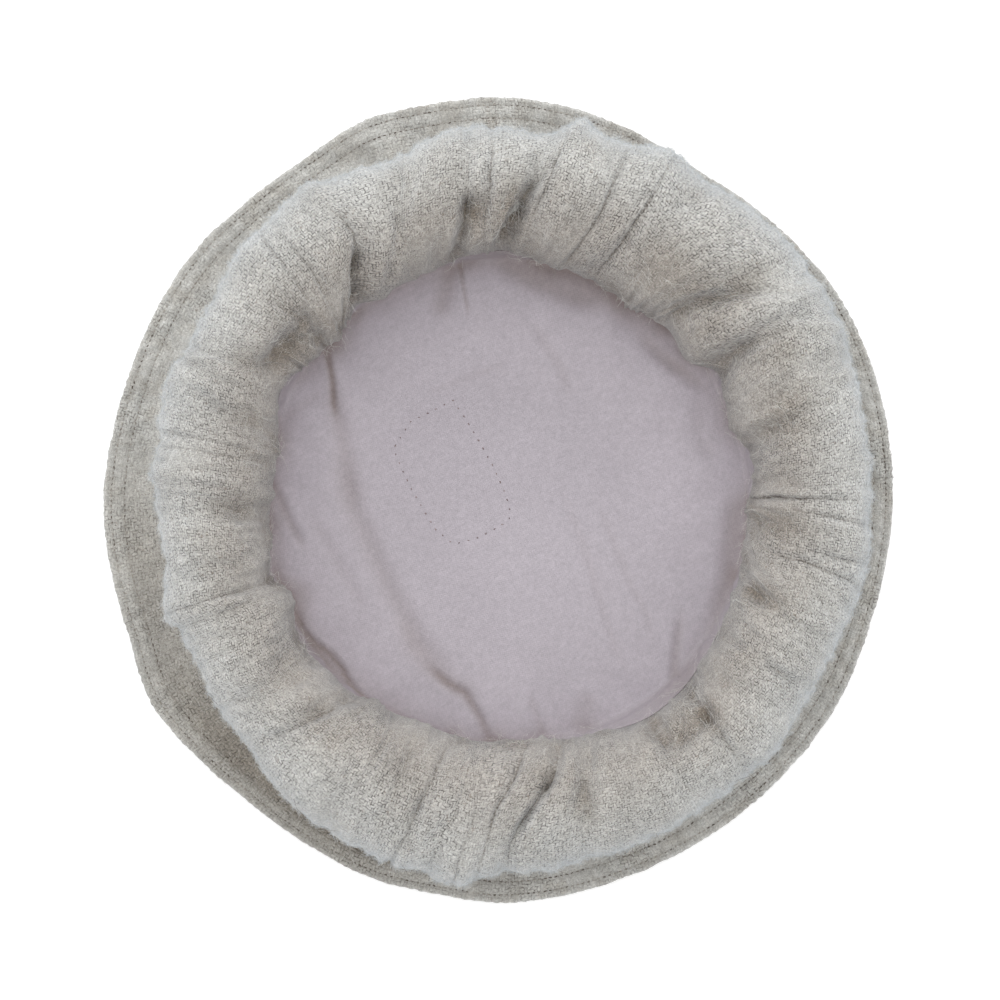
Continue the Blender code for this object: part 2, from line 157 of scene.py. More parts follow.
CREASE_THETAS = (20.0, 65.0, 95.0, 130.0, 165.0)
CREASES = (
    Crease((0.3, 0.3, 0.5, 0.8, 0.8), (0.0, 0.3, 1.0, 1.4, 1.1), 1.3, 1.3),
    Crease((19, 18, 16.5, 15.2, 14.5), (0.0, 0.0, 0.6, 2.0, 1.4), 4.0, 2.8),
    Crease((31, 32, 33, 33.4, 32.0), (0.0, 0.3, 1.4, 2.5, 2.0), 3.4, 4.0),
    Crease((37, 38.5, 42, 46.5, 49.5), (0.1, 0.8, 3.0, 4.0, 2.4), 4.6, 4.0),
    Crease((57, 58, 59.5, 60, 60), (0.0, 0.8, 1.2, 0.8, 0.3), 5.0, 5.0),
    Crease((63.8, 64.3, 65, 66.6, 68.5), (0.5, 0.8, 1.5, 1.5, 0.6), 2.9, 1.5),
    Crease((70.8, 71.3, 71.8, 73.8, 77), (0.4, 0.7, 1.1, 1.0, 0.4), 2.6, 1.4),
    Crease((80.3, 81.3, 82.8, 85, 87), (0.3, 0.7, 0.8, 0.3, 0.0), 2.0, 1.6),
    Crease((83.5, 84.2, 86, 88.6, 91.5), (0.0, 0.6, 5.6, 7.6, 3.5), 3.2, 2.8),
    Crease((92.2, 92.5, 93, 94.5, 95), (0.0, 0.8, 1.5, 0.4, 0.0), 1.9, 2.4),
    Crease((95.8, 96.3, 97.2, 98.6, 100.5), (0.2, 0.8, 2.0, 4.8, 3.4), 2.6, 3.2),
    Crease((108, 108.5, 110.5, 112.5, 113), (0.0, 1.0, 1.8, 1.2, 0.5), 4.0, 4.0),
    Crease((122.2, 121.2, 119.8, 124.2, 130.5), (0.4, 0.9, 2.2, 5.2, 2.8), 4.8, 2.2),
    Crease((130.2, 130.1, 130.3, 132, 135), (0.2, 0.5, 0.6, 0.2, 0.1), 1.2, 1.2),
    Crease((132.5, 133.2, 133.8, 136, 138), (0.35, 0.55, 0.5, 0.2, 0.1), 1.3, 1.3),
    Crease((138.5, 138.5, 138.4, 138, 139.5), (0.0, 0.2, 1.4, 3.6, 2.8), 3.4, 3.2),
    Crease((153.8, 153.6, 152.8, 150.5, 148), (0.0, 0.2, 1.0, 1.4, 0.4), 4.2, 3.0),
    Crease((156.8, 156.8, 157, 157, 157), (0.2, 0.9, 1.0, 0.4, 0.0), 3.0, 3.0),
    Crease((161.5, 161.7, 162.3, 163, 163), (0.0, 0.6, 1.1, 0.9, 0.3), 3.0, 3.0),
    Crease((168.5, 168.5, 168.5, 168.5, 168.5), (0.1, 0.4, 0.5, 0.2, 0.0), 1.2, 1.2),
    Crease((170.8, 170.8, 170.8, 171, 171), (0.1, 0.35, 0.4, 0.2, 0.0), 1.2, 1.2),
    Crease((178, 179, 180.8, 182.5, 183), (0.0, 0.0, 1.1, 2.4, 1.5), 4.4, 4.4),
    Crease((198.3, 198.3, 198.4, 198.8, 199), (0.4, 0.6, 0.7, 0.5, 0.2), 1.6, 1.4),
    Crease((201.3, 201.3, 201.3, 201.5, 201.8), (0.3, 0.5, 0.4, 0.2, 0.0), 2.4, 2.4),
    Crease((216, 217, 219, 220, 220), (0.0, 0.6, 1.3, 1.4, 0.6), 4.4, 4.4),
    Crease((224.5, 225.5, 227.6, 230, 232.5), (0.0, 0.3, 2.0, 2.8, 1.6), 4.6, 2.6),
    Crease((241.5, 241.8, 242.3, 243, 243), (0.3, 0.5, 0.5, 0.3, 0.1), 2.6, 2.6),
    Crease((247.5, 248, 248.5, 249, 249), (0.0, 0.3, 1.2, 1.4, 0.5), 4.2, 4.2),
    Crease((252.2, 253.2, 254.2, 255.6, 257.3), (0.6, 0.8, 0.9, 0.8, 0.4), 2.0, 1.8),
    Crease((258, 258.8, 261, 262, 263), (0.3, 0.5, 0.4, 0.2, 0.0), 2.0, 2.0),
    Crease((262, 262.8, 264.2, 265, 266), (0.4, 0.6, 0.3, 0.0, 0.0), 1.8, 1.8),
    Crease((265.3, 266.4, 267.9, 272, 275), (0.5, 0.9, 1.4, 1.3, 0.6), 2.3, 1.8),
    Crease((270.2, 270.9, 274.4, 280.2, 281.6), (1.0, 1.9, 3.9, 3.0, 0.6), 2.4, 3.0),
    Crease((282.5, 283.4, 285, 287, 288), (0.2, 1.6, 3.0, 2.0, 0.4), 3.6, 3.6),
    Crease((300.5, 301, 302.3, 302.8, 303), (0.0, 0.0, 0.5, 2.0, 1.4), 2.6, 4.0),
    Crease((311.5, 312, 312.8, 313.4, 313.6), (0.0, 1.2, 3.4, 4.4, 1.8), 3.4, 2.6),
    Crease((328, 328, 328, 328, 328), (0.0, 0.3, 0.8, 0.6, 0.0), 3.0, 3.0),
    Crease((334.5, 335.5, 337, 339.4, 341.4), (0.0, 0.4, 1.3, 2.6, 1.7), 4.4, 3.2),
    Crease((346.2, 347.5, 348.4, 349.0, 353.0), (0.6, 1.0, 1.2, 0.8, 0.4), 2.4, 1.9),
    Crease((350.0, 350.3, 350.8, 352.5, 356), (0.5, 0.6, 0.4, 0.2, 0.0), 1.6, 1.6),
    Crease((356.2, 356.8, 357.8, 358.4, 358.5), (0.6, 0.9, 0.8, 0.4, 0.2), 2.4, 1.9),
)
HOLLOWS = (
    Hollow(14.5, 112, 3.6, 28, 2.0, 0.8, 0.55), Hollow(28.5, 92, 4.0, 20, 0.4, 1.0, 0.5),
    Hollow(19.5, 98, 3.6, 22, 0.3, 1.0, 0.55),
    Hollow(33.2, 138, 2.4, 30, 1.4, 0.9, 0.5), Hollow(42.3, 88, 3.0, 26, 0.6, 1.0, 0.7),
    Hollow(40, 131, 4.5, 22, 0.4, 1.0, 0.3), Hollow(47.5, 126, 2.6, 30, 0.4, 1.0, 0.4),
    Hollow(53, 112, 5.5, 28, 0.8, 1.0, 0.4), Hollow(58.5, 114, 4.6, 32, 1.2, 1.0, 0.3),
    Hollow(88.6, 118, 2.8, 30, 1.0, 1.0, 0.9), Hollow(90.5, 150, 2.6, 22, 1.6, 1.0, 0.4),
    Hollow(96.4, 112, 3.2, 32, 4.6, 0.5, 0.75), Hollow(106, 110, 6.0, 24, 0.5, 1.0, 0.25),
    Hollow(123, 124, 2.6, 28, 0.4, 1.0, 0.45), Hollow(127, 158, 3.2, 22, 2.6, 0.6, 0.5),
    Hollow(138.5, 110, 2.0, 18, 0.4, 1.0, 0.45), Hollow(145.5, 130, 8.4, 40, 7.5, 0.55, 0.6),
    Hollow(152, 100, 2.4, 16, 0.6, 1.0, 0.35), Hollow(162.5, 128, 3.0, 26, 0.5, 1.0, 0.35),
    Hollow(181, 118, 3.2, 26, 1.4, 0.9, 0.5), Hollow(217.5, 122, 6.0, 36, 2.0, 0.9, 0.2),
    Hollow(228, 110, 2.6, 20, 1.2, 0.8, 0.45), Hollow(249, 120, 3.2, 28, 0.4, 1.0, 0.3),
    Hollow(278, 116, 3.2, 22, 1.6, 0.8, 0.4), Hollow(284.5, 92, 2.6, 22, 0.8, 1.0, 0.6),
    Hollow(302, 152, 2.2, 16, 1.0, 1.0, 0.6), Hollow(280, 160, 3.0, 14, 1.0, 1.0, 0.4),
    Hollow(307.8, 120, 6.4, 40, 4.6, 0.55, 0.5), Hollow(313.6, 120, 2.2, 20, 1.2, 1.0, 0.9),
    Hollow(234, 106, 2.4, 14, 0.4, 1.0, 0.4), Hollow(135, 142, 1.8, 16, 0.3, 1.0, 0.4),
    Hollow(340.4, 148, 1.5, 14, 0.6, 1.0, 0.7),
    Hollow(339.4, 120, 2.8, 38, 1.8, 0.9, 0.6), Hollow(354.6, 116, 4.0, 38, 2.8, 0.7, 0.6),
    Hollow(356, 154, 4.0, 18, 1.4, 1.0, 0.5),
)

LIP_SHADES = (  # azimuth, reach to both sides and how dark the painted shadow is
    (5, 3, 0.3), (18, 6, 0.3), (32, 3, 0.5), (48, 2.5, 0.5), (61, 4, 0.7), (80, 6, 0.5), (99, 2.5, 0.8),
    (128, 3, 1.0), (137.5, 2.5, 0.9), (150, 2.5, 0.5), (166, 4, 0.8), (186, 4, 0.7), (198, 3, 1.0), (213, 4, 0.9),
    (257, 2.5, 0.7), (267, 2.5, 0.8), (278, 3, 0.6), (290, 2.5, 0.6), (303, 2.5, 0.8), (314, 3, 0.7),
    (328, 3, 0.5), (342, 2.5, 0.7), (351, 4, 0.5), (359, 3, 0.6),
)

WISPS = ((235, 14, 1.0), (164, 5, 1.0), (95, 6, 1.0), (262, 4, 1.0), (65, 5, 1.0), (128, 6, 1.0))

PULLS = (
    Pull(((-66.5, 70.0), (-62.4, 54.8), (-60.5, 43.9), (-60.0, 34.7), (-58.5, 27.0)), 1.2, 1.0, 1.0),
    Pull(((-62.5, 50.0), (-60.0, 36.0), (-57.8, 25.6), (-54.5, 9.0), (-50.5, -7.3)), 3.4, 0.8, 0.28),
    Pull(((-14.5, 90.0), (-12.2, 75.5), (-10.6, 66.0)), 0.8, 0.6, 0.5),
    Pull(((-15.5, 90.0), (-19.0, 76.6), (-23.0, 65.0)), 3.5, 1.0, 0.4),
    Pull(((-28.8, 38.2), (-11.0, 44.9), (5.7, 50.7)), 1.2, 0.35, 0.12),
    Pull(((-80.0, 28.0), (-63.4, 40.1)), 1.5, 0.4, 0.15),
    Pull(((11.5, 67.0), (23.0, 48.5), (27.5, 36.0)), 2.0, 0.7, 0.15),
    Pull(((49.0, 63.0), (60.3, 51.8), (69.5, 44.8), (79.0, 38.0)), 2.5, 1.1, 0.38),
    Pull(((73.5, 41.0), (73.1, 25.4), (80.0, 12.0)), 3.0, 0.6, 0.12),
    Pull(((-60.0, 24.0), (-57.5, 9.0), (-53.8, -3.0), (-49.0, -11.5), (-44.3, -23.0), (-40.3, -32.0),
          (-34.6, -42.2), (-28.0, -53.6), (-17.6, -65.2), (-9.0, -75.6)), 4.0, 1.25, 0.27),
    Pull(((-28.0, -59.0), (-18.3, -67.1), (-12.1, -70.7), (-6.2, -79.9), (-2.0, -90.0)), 1.6, 1.3, 0.65),
    Pull(((-37.5, -40.0), (-31.5, -54.0), (-26.0, -61.0), (-19.0, -66.6), (-11.5, -70.0), (-5.5, -80.0)), 3.2, 0.1,
         0.22),
    Pull(((-71.5, -1.0), (-64.7, -12.2), (-55.9, -28.3), (-48.0, -43.0)), 2.5, 0.5, 0.12),
    Pull(((-84.0, 11.0), (-76.8, -6.4), (-70.0, -20.0)), 1.6, 0.9, 0.4),
    Pull(((-77.0, -34.0), (-73.3, -42.0), (-71.5, -47.5), (-66.0, -52.6), (-60.5, -56.7), (-56.9, -61.2),
          (-54.1, -66.7), (-49.6, -72.2), (-41.3, -77.5)), 1.0, 1.1, 0.75),
    Pull(((-79.5, -37.0), (-74.5, -49.5), (-63.5, -60.0), (-58.0, -69.0), (-46.0, -79.0)), 3.4, 0.3, 0.4),
    Pull(((20.9, 10.2), (24.5, 1.0), (31.8, -18.4), (37.7, -37.8), (42.8, -53.9), (49.6, -69.0)), 1.5, 0.5, 0.12),
    Pull(((35.6, 3.9), (40.2, -10.0), (47.5, -28.3), (54.8, -42.9), (57.7, -58.0)), 1.5, 0.45, 0.12),
    Pull(((67.5, -36.0), (66.2, -46.0), (64.6, -57.0), (64.0, -70.0), (63.0, -95.0)), 1.8, 1.2, 0.36),
    Pull(((87.0, 6.0), (85.2, -8.6), (84.1, -28.3), (77.3, -49.1)), 3.5, 1.0, 0.35),
    Pull(((11.1, -70.3), (17.5, -88.0)), 1.5, 0.8, 0.2),
    Pull(((33.9, -69.0), (29.0, -86.0)), 4.0, 0.8, 0.22),
    Pull(((-4.0, 89.5), (4.6, 83.9), (12.8, 79.5), (23.0, 75.5), (40.0, 69.5)), 3.5, 0.8, 0.42),
)
PATCH_OUTLINE = (
    (-16.5, 36.4), (-32.2, 28.5), (-38.1, 19.0), (-37.0, 15.4), (-31.9, 4.4), (-26.4, -5.1), (-23.1, -10.6),
    (-19.1, -13.9), (-16.9, -15.7), (-14.3, -15.7), (-7.7, -13.9), (-0.4, -10.2), (4.0, -7.3), (4.5, -4.4),
    (2.9, 1.8), (-1.5, 11.7), (-6.6, 20.9), (-12.1, 30.0),
)


def rise(value: np.ndarray, start: float = 0.0, span: float = 1.0) -> np.ndarray:
    """Rises gently from 0 at the start to 1 at the end of a span, and stays level outside."""
    share = np.clip((value - start) / span, 0.0, 1.0)
    return share * share * (3.0 - 2.0 * share)


def bell(value: np.ndarray, reach: float = 1.0) -> np.ndarray:
    """Falls off from 1 at zero to both sides."""
    return np.exp(-(value / reach) ** 2)


def turned_from(place: np.ndarray, azimuth: np.ndarray) -> np.ndarray:
    """Degrees from a place to each azimuth, the shorter way round."""
    return (azimuth - place + 180.0) % 360.0 - 180.0


def bells(azimuth: np.ndarray, rows: Sequence[tuple[float, float, float]]) -> np.ndarray:
    """Adds up bells round the hat, each with its azimuth, reach and height."""
    return sum(height * bell(turned_from(place, azimuth), reach) for place, reach, height in rows)


def even_azimuths(count: int) -> np.ndarray:
    """Azimuths in even steps round the hat."""
    return np.arange(count) * 360.0 / count


def drawn_back(inward: np.ndarray, cloth: float) -> np.ndarray:
    """How far the face of a cloth of some thickness is rounded off near its edge, mm."""
    share = np.clip(1.0 - 2.0 * inward / cloth, 0.0, 1.0)
    return 0.48 * cloth * (1.0 - np.sqrt(1.0 - share ** 2))


def through(places: Sequence[float], rows: np.ndarray, at: np.ndarray) -> np.ndarray:
    """Follows smooth curves through rows of values, held level before the first and after the last.

    Args:
        places: Where each row stands.
        rows: One row of values for each place.
        at: The places to read.

    Returns:
        One row of values for each place read.
    """
    places = np.asarray(places)
    at = np.clip(at, places[0], places[-1])
    place = np.clip(np.searchsorted(places, at, side="right") - 1, 0, len(places) - 2)
    slopes = np.gradient(rows, places, axis=0)
    step = np.diff(places)[place][:, None]
    t = (at - places[place])[:, None] / step
    return ((2 * t ** 3 - 3 * t ** 2 + 1) * rows[place] + (t ** 3 - 2 * t ** 2 + t) * step * slopes[place]
            + (3 * t ** 2 - 2 * t ** 3) * rows[place + 1] + (t ** 3 - t ** 2) * step * slopes[place + 1])


def waves(seed: int, across: np.ndarray, along: np.ndarray, lengths: tuple[float, float],
          slant: float) -> np.ndarray:
    """Adds up waves of random directions into a ripple of about unit height.

    Args:
        seed: Fixes the random choices.
        across: Turns round the hat, from 0 to 1, so that the ripple closes on itself.
        along: Lengths across the turns, mm.
        lengths: The shortest and longest wave round the hat, mm.
        slant: How much the waves vary along, from 0 to 1.

    Returns:
        The ripple, of the two arrays' common shape.
    """
    chance = np.random.default_rng(seed)
    total = np.zeros(np.broadcast(across, along).shape)
    for _ in range(WAVE_COUNT):
        length = chance.uniform(*lengths)
        turns = round(math.tau * WAVE_RADIUS / length)
        rate = chance.normal() * slant * math.tau / length
        total += np.sin(math.tau * turns * across + rate * along + chance.uniform(0.0, math.tau))
    return total / math.sqrt(WAVE_COUNT / 2.0)


class Signal:
    """An output in a tree of nodes, which takes part in sums like a number."""

    def __init__(self, graph: "Graph", socket: bpy.types.NodeSocket) -> None:
        """Stands for one output."""
        self.graph = graph
        self.socket = socket

    def also(self, output: int | str) -> "Signal":
        """Gives another output of the same node."""
        return Signal(self.graph, self.socket.node.outputs[output])

    def do(self, operation: str, *others: object, output: int = 0) -> "Signal":
        """Does a sum on this value and others, as vectors unless this one is a plain number."""
        kind = "ShaderNodeMath" if self.socket.type == "VALUE" else "ShaderNodeVectorMath"
        return self.graph.add(kind, dict(enumerate((self, *others))), output, operation=operation)

    def __add__(self, other: object) -> "Signal":
        """Adds another value."""
        return self.do("ADD", other)

    def __sub__(self, other: object) -> "Signal":
        """Takes another value away."""
        return self.do("SUBTRACT", other)

    def __mul__(self, other: object) -> "Signal":
        """Multiplies. A vector or colour times a plain number is scaled.

        Args:
            other: A number or another value.

        Returns:
            The product.
        """
        if self.socket.type != "VALUE" and (isinstance(other, float) or other.socket.type == "VALUE"):
            return self.graph.add("ShaderNodeVectorMath", {0: self, "Scale": other}, operation="SCALE")
        return self.do("MULTIPLY", other)


class Graph:
    """Adds nodes to one tree and joins them."""

    def __init__(self, tree: bpy.types.NodeTree) -> None:
        """Works on a tree of any kind."""
        self.tree = tree

    def feed(self, socket: bpy.types.NodeSocket, value: object) -> None:
        """Links a value into a socket, or sets the socket's own value.

        Args:
            socket: The input.
            value: What goes in; a colour may leave out its alpha.
        """
        if isinstance(value, Signal):
            self.tree.links.new(value.socket, socket)
        else:
            socket.default_value = (*value[:3], 1.0) if socket.type == "RGBA" else value

    def add(self, kind: str, inputs: dict | None = None, output: int | str = 0, **settings: object) -> Signal:
        """Adds one node.

        Args:
            kind: The node's type.
            inputs: What goes into its inputs, by name or number.
            output: The output to give, by name or number.
            **settings: The node's own choices.

        Returns:
            One of its outputs.
        """
        node = self.tree.nodes.new(kind)
        for name, value in settings.items():
            setattr(node, name, value)
        for key, value in (inputs or {}).items():
            self.feed(node.inputs[key], value)
        return Signal(self, node.outputs[output])

    def combine(self, x: object, y: object, z: object = 0.0) -> Signal:
        """Makes a vector of three values."""
        return self.add("ShaderNodeCombineXYZ", {0: x, 1: y, 2: z})

    def ramp(self, value: Signal, low: float, high: float, out_low: float = 0.0,
             out_high: float = 1.0) -> Signal:
        """Goes smoothly from one value to another as the input goes from low to high."""
        inputs = {"Value": value, "From Min": low, "From Max": high, "To Min": out_low, "To Max": out_high}
        return self.add("ShaderNodeMapRange", inputs, interpolation_type="SMOOTHSTEP")

    def mix(self, share: Signal, first: object, second: object) -> Signal:
        """Mixes two colours."""
        return self.add("ShaderNodeMix", {0: share, 6: first, 7: second}, 2, data_type="RGBA")

    def noise(self, vector: Signal, scale: float, detail: float = 2.0, roughness: float = 0.5,
              output: str = "Fac") -> Signal:
        """Gives a noise's value or colour."""
        inputs = {"Vector": vector, "Scale": scale, "Detail": detail, "Roughness": roughness}
        return self.add("ShaderNodeTexNoise", inputs, output, noise_dimensions="3D")

    def streaks(self, place: Signal, x_rate: float, y_rate: float, **noise: float) -> Signal:
        """Gives a noise that is drawn out along one thread of a cloth."""
        return self.noise(place.do("MULTIPLY_ADD", (x_rate, y_rate, 0.0), (0.0, 0.0, x_rate)), 1.0, **noise)

    def strayed(self, place: Signal, scale: float, detail: float, reach: Signal) -> Signal:
        """Lets a place on the cloth wander off a little."""
        return place + (self.noise(place, scale, detail, output="Color") - GREY) * reach


class Group(Graph):
    """A node group with named inputs and outputs."""

    def __init__(self, name: str, kind: str, inputs: dict[str, object]) -> None:
        """Makes the group.

        Args:
            name: The group's name.
            kind: The type of tree.
            inputs: Each input's value unless it is given another; None for a geometry.
        """
        super().__init__(bpy.data.node_groups.new(name, kind))
        for label, value in inputs.items():
            kind = SOCKETS[type(value)]
            socket = self.tree.interface.new_socket(name=label, in_out="INPUT", socket_type=kind)
            if value is not None:
                socket.default_value = value
        node = self.tree.nodes.new("NodeGroupInput")
        self.given = {label: Signal(self, node.outputs[label]) for label in inputs}

    def give(self, kind: type, **values: Signal) -> bpy.types.NodeTree:
        """Adds the group's outputs.

        Args:
            kind: What they all are, as in SOCKETS.
            **values: What each gives.

        Returns:
            The finished tree.
        """
        for label in values:
            self.tree.interface.new_socket(name=label, in_out="OUTPUT", socket_type=SOCKETS[kind])
        node = self.tree.nodes.new("NodeGroupOutput")
        for label, value in values.items():
            self.feed(node.inputs[label], value)
        return self.tree


def twill_group() -> bpy.types.NodeTree:
    """Builds the two-over, two-under weave of the wool.

    Returns:
        A group from a place on the cloth, in yarns, to the height, tone, fibres and gaps of its yarns.
    """
    graph = Group(Weave.TWILL.value, "ShaderNodeTree", {"Place": ORIGIN, "Wander": 0.3})
    place = graph.strayed(graph.given["Place"], 0.4, 3.0, graph.given["Wander"])
    u = graph.add("ShaderNodeSeparateXYZ", {0: place})
    v = u.also(1)
    column, row = u.do("FLOOR"), v.do("FLOOR")
    warp_at, weft_at = v + column, u + row
    heights = []
    for side, ahead, sign in ((u, warp_at, 1.0), (v, weft_at, -1.0)):
        rounded = (side * math.pi).do("SINE").do("ABSOLUTE").do("POWER", 0.7)
        lifted = ((ahead * (math.pi / 2.0)).do("SINE") * sign).do("MAXIMUM", 0.0).do("POWER", 0.55)
        heights.append(rounded * lifted)
    warp_run, weft_run = (ahead.do("DIVIDE", 4.0).do("FLOOR") for ahead in (warp_at, weft_at))
    tones = [graph.add("ShaderNodeTexWhiteNoise", {"Vector": graph.combine(*at)}, "Value",
                       noise_dimensions="3D")
             for at in ((column, warp_run, 0.37), (weft_run, row, 7.61))]
    fibres = [graph.streaks(place, *rates) for rates in ((3.0, 0.75), (0.75, 3.0))]
    over = heights[0].do("GREATER_THAN", heights[1])
    tone, fibre = (graph.add("ShaderNodeMix", {0: over, 2: weft, 3: warp}, data_type="FLOAT")
                   for warp, weft in (tones, fibres))
    height = heights[0].do("MAXIMUM", heights[1])
    gap = graph.ramp(height, 0.12, 0.62, 1.0, 0.0)
    return graph.give(float, Height=height, Tone=tone, Fibre=fibre, Gap=gap)


def plain_group() -> bpy.types.NodeTree:
    """Builds the plain weave of the cotton, with its slubs.

    Returns:
        A group from a place on the cloth, in threads, to the height of its threads and to its slubs.
    """
    graph = Group(Weave.PLAIN.value, "ShaderNodeTree", {"Place": ORIGIN, "Wander": 0.5})
    place = graph.strayed(graph.given["Place"], 0.11, 2.0, graph.given["Wander"])
    u = graph.add("ShaderNodeSeparateXYZ", {0: place})
    swing = (u * math.pi).do("SINE") * (u.also(1) * math.pi).do("SINE")
    first, second = (graph.ramp(graph.streaks(place, *rates, detail=3.0, roughness=0.6), 0.3, 0.7, -1.0, 1.0)
                     for rates in ((0.24, 0.95), (0.95, 0.24)))
    return graph.give(float, Height=swing * 0.5 + 0.5, Slub=(first + second) * 0.5)


class Surface(Graph):
    """The nodes of one material, round its Principled shader."""

    def __init__(self, name: str, colour: Colour, settings: dict[str, object]) -> None:
        """Makes the material.

        Args:
            name: The material's name.
            colour: Its plain colour.
            settings: The shader's own values.
        """
        self.material = bpy.data.materials.new(name)
        self.material.use_nodes = True
        self.material.diffuse_color = (*colour, 1.0)
        super().__init__(self.material.node_tree)
        self.dress(settings)

    def dress(self, values: dict[str, object]) -> bpy.types.Material:
        """Feeds the shader.

        Args:
            values: What goes into its inputs, by name.

        Returns:
            The material.
        """
        for label, value in values.items():
            self.feed(self.tree.nodes["Principled BSDF"].inputs[label], value)
        return self.material

    @cached_property
    def place(self) -> Signal:
        """A point on the object, in metres."""
        return self.add("ShaderNodeTexCoord", output="Object")

    def patches(self, scale: float, low: float, high: float, out_low: float = 0.0, out_high: float = 1.0,
                detail: float = 2.0, roughness: float = 0.5) -> Signal:
        """Varies between two values over the object, in patches."""
        return self.ramp(self.noise(self.place, scale, detail, roughness), low, high, out_low, out_high)

    def attributes(self, *names: str) -> list[Signal]:
        """Reads the mesh's own values."""
        return [self.add("ShaderNodeAttribute", output="Fac", attribute_name=name) for name in names]

    def weave(self, group: bpy.types.NodeTree, pitch: float, wander: float) -> Signal:
        """Lays a weave on the cloth's map, with so many mm from thread to thread."""
        place = self.add("ShaderNodeUVMap", uv_map=CLOTH_MAP) * (UV_UNIT / pitch)
        return self.add("ShaderNodeGroup", {"Place": place, "Wander": wander}, node_tree=group)

    def relief(self, height: Signal, depth: float, strength: float) -> Signal:
        """Makes normals of a height, of which 1 stands for so many mm."""
        return self.add("ShaderNodeBump", {"Strength": strength, "Distance": depth * MM, "Height": height})


@dataclass(frozen=True)
class WoolFinish:
    """Undyed wool in the two-over, two-under weave."""

    name: str
    pale: Colour
    plain: Colour
    # Colour of the gaps between yarns, painted dark as shade.
    gap: Colour
    veil: Colour
    fleck: Colour = (0.2, 0.145, 0.105)
    # Pale bluish colour of the roll's outer band: painted highlight, as if its fuzz caught the rim light.
    nap: Colour = (0.51, 0.535, 0.55)
    hair: Colour = (0.6, 0.6, 0.585)
    # Colour of the fine hollows between fibres, painted dark as shade.
    hollow: Colour = (0.2, 0.185, 0.165)
    # Tint of the painted shade on the roll's mouth side.
    mouth_shade: Colour = (0.79, 0.735, 0.7)
    # Tint of the painted brown shade, and of the random soil patches.
    shade_and_soil: Colour = (0.64, 0.585, 0.52)
    shade: Colour = (0.42, 0.38, 0.34)
    yarn: float = 0.88  # mm from yarn to yarn
    wander: float = 1.5
    relief: float = 0.42  # mm
    sheen: float = 0.35
    soil: float = 0.2
    soil_grain: float = 48.0  # browner patches for each metre

    def material(self, twill: bpy.types.NodeTree) -> bpy.types.Material:
        """Makes the finish.

        Args:
            twill: The group that gives the weave.

        Returns:
            The material. It reads the cloth's map and the attributes crisp, crease and apart, the painted brown
            shade, the painted shade on the mouth side and the band of painted rim highlight, halo.
        """
        surface = Surface(self.name, self.plain, {
            "Roughness": 0.95, "Specular IOR Level": 0.2, "Sheen Weight": self.sheen, "Sheen Roughness": 0.45,
            "Sheen Tint": (0.8, 0.88, 1.0)})
        mix, patches = surface.mix, surface.patches
        weave = surface.weave(twill, self.yarn, self.wander)
        crisp, crease, apart, brown_shade, mouth_shade, halo = surface.attributes(
            "crisp", "crease", "apart", "brown_shade", "mouth_shade", "halo")

        share = weave.also("Tone") * 0.4 + surface.ramp(weave.also("Fibre"), 0.34, 0.66, -0.25, 0.85)
        uneven = patches(620.0, 0.36, 0.62, 0.05, 1.15, roughness=0.6)
        # Painted shade: the gaps between yarns are coloured dark, more where the weave is crisp.
        gaps = weave.also("Gap") * (crisp * 0.75 + 0.25) * uneven
        woven = mix(gaps, mix(share, self.plain, self.pale), self.gap)
        nap = patches(2600.0, 0.35, 0.65, detail=3.0, roughness=0.7)
        woven = mix(nap * (crisp * -0.45 + 0.65), woven, self.veil)
        thick = patches(330.0, 0.35, 0.65, 0.1, 0.85)
        # Pale fibres, and thin dark hollows between them painted as shade.
        for shift, amount, colour in ((3.0, thick, self.hair), (7.0, thick * -0.35 + 0.4, self.hollow)):
            moved = surface.place + (shift, -shift, 0.5 * shift)
            ridge = (surface.noise(moved, 720.0, 1.5) - 0.5).do("ABSOLUTE")
            woven = mix(surface.ramp(ridge, 0.0, 0.05, 1.0, 0.0) * amount, woven, colour)
        brown = patches(900.0, 0.58, 0.72) * patches(140.0, 0.45, 0.66, detail=1.0)
        woven = mix(brown * 0.5, woven, self.fleck)
        # Painted highlight: the roll's outer band is mixed towards the pale bluish nap colour.
        woven = mix(halo * patches(900.0, 0.3, 0.7, 0.1, 0.85, 3.0, 0.7), woven, self.nap)

        warm = patches(self.soil_grain, 0.42, 0.68, 0.0, self.soil, 3.0)
        # Painted shade along the crease lines, with a jagged edge.
        jag = surface.noise(surface.place, 850.0, 3.0) * 2.4 - 1.2
        aside = (apart + jag).do("DIVIDE", 0.38)
        line = crease * (aside * aside * -1.0).do("EXPONENT")
        # Tints: painted shade on the mouth side, painted brown shade with the random soil patches, painted shade
        # along creases.
        for share, tint in ((mouth_shade, self.mouth_shade), (warm.do("MAXIMUM", brown_shade), self.shade_and_soil), (line, self.shade)):
            woven = woven * mix(share, WHITE, tint)
        mottle = patches(70.0, 0.3, 0.7, 0.94, 1.06, 4.0) * patches(2100.0, 0.3, 0.7, 0.88, 1.12, 3.0, 0.7)
        height = nap * 0.45 + weave.also("Height") * (crisp * 0.7 + 0.3)
        return surface.dress({"Base Color": woven * mottle,
                              "Normal": surface.relief(height, self.relief, 0.75)})


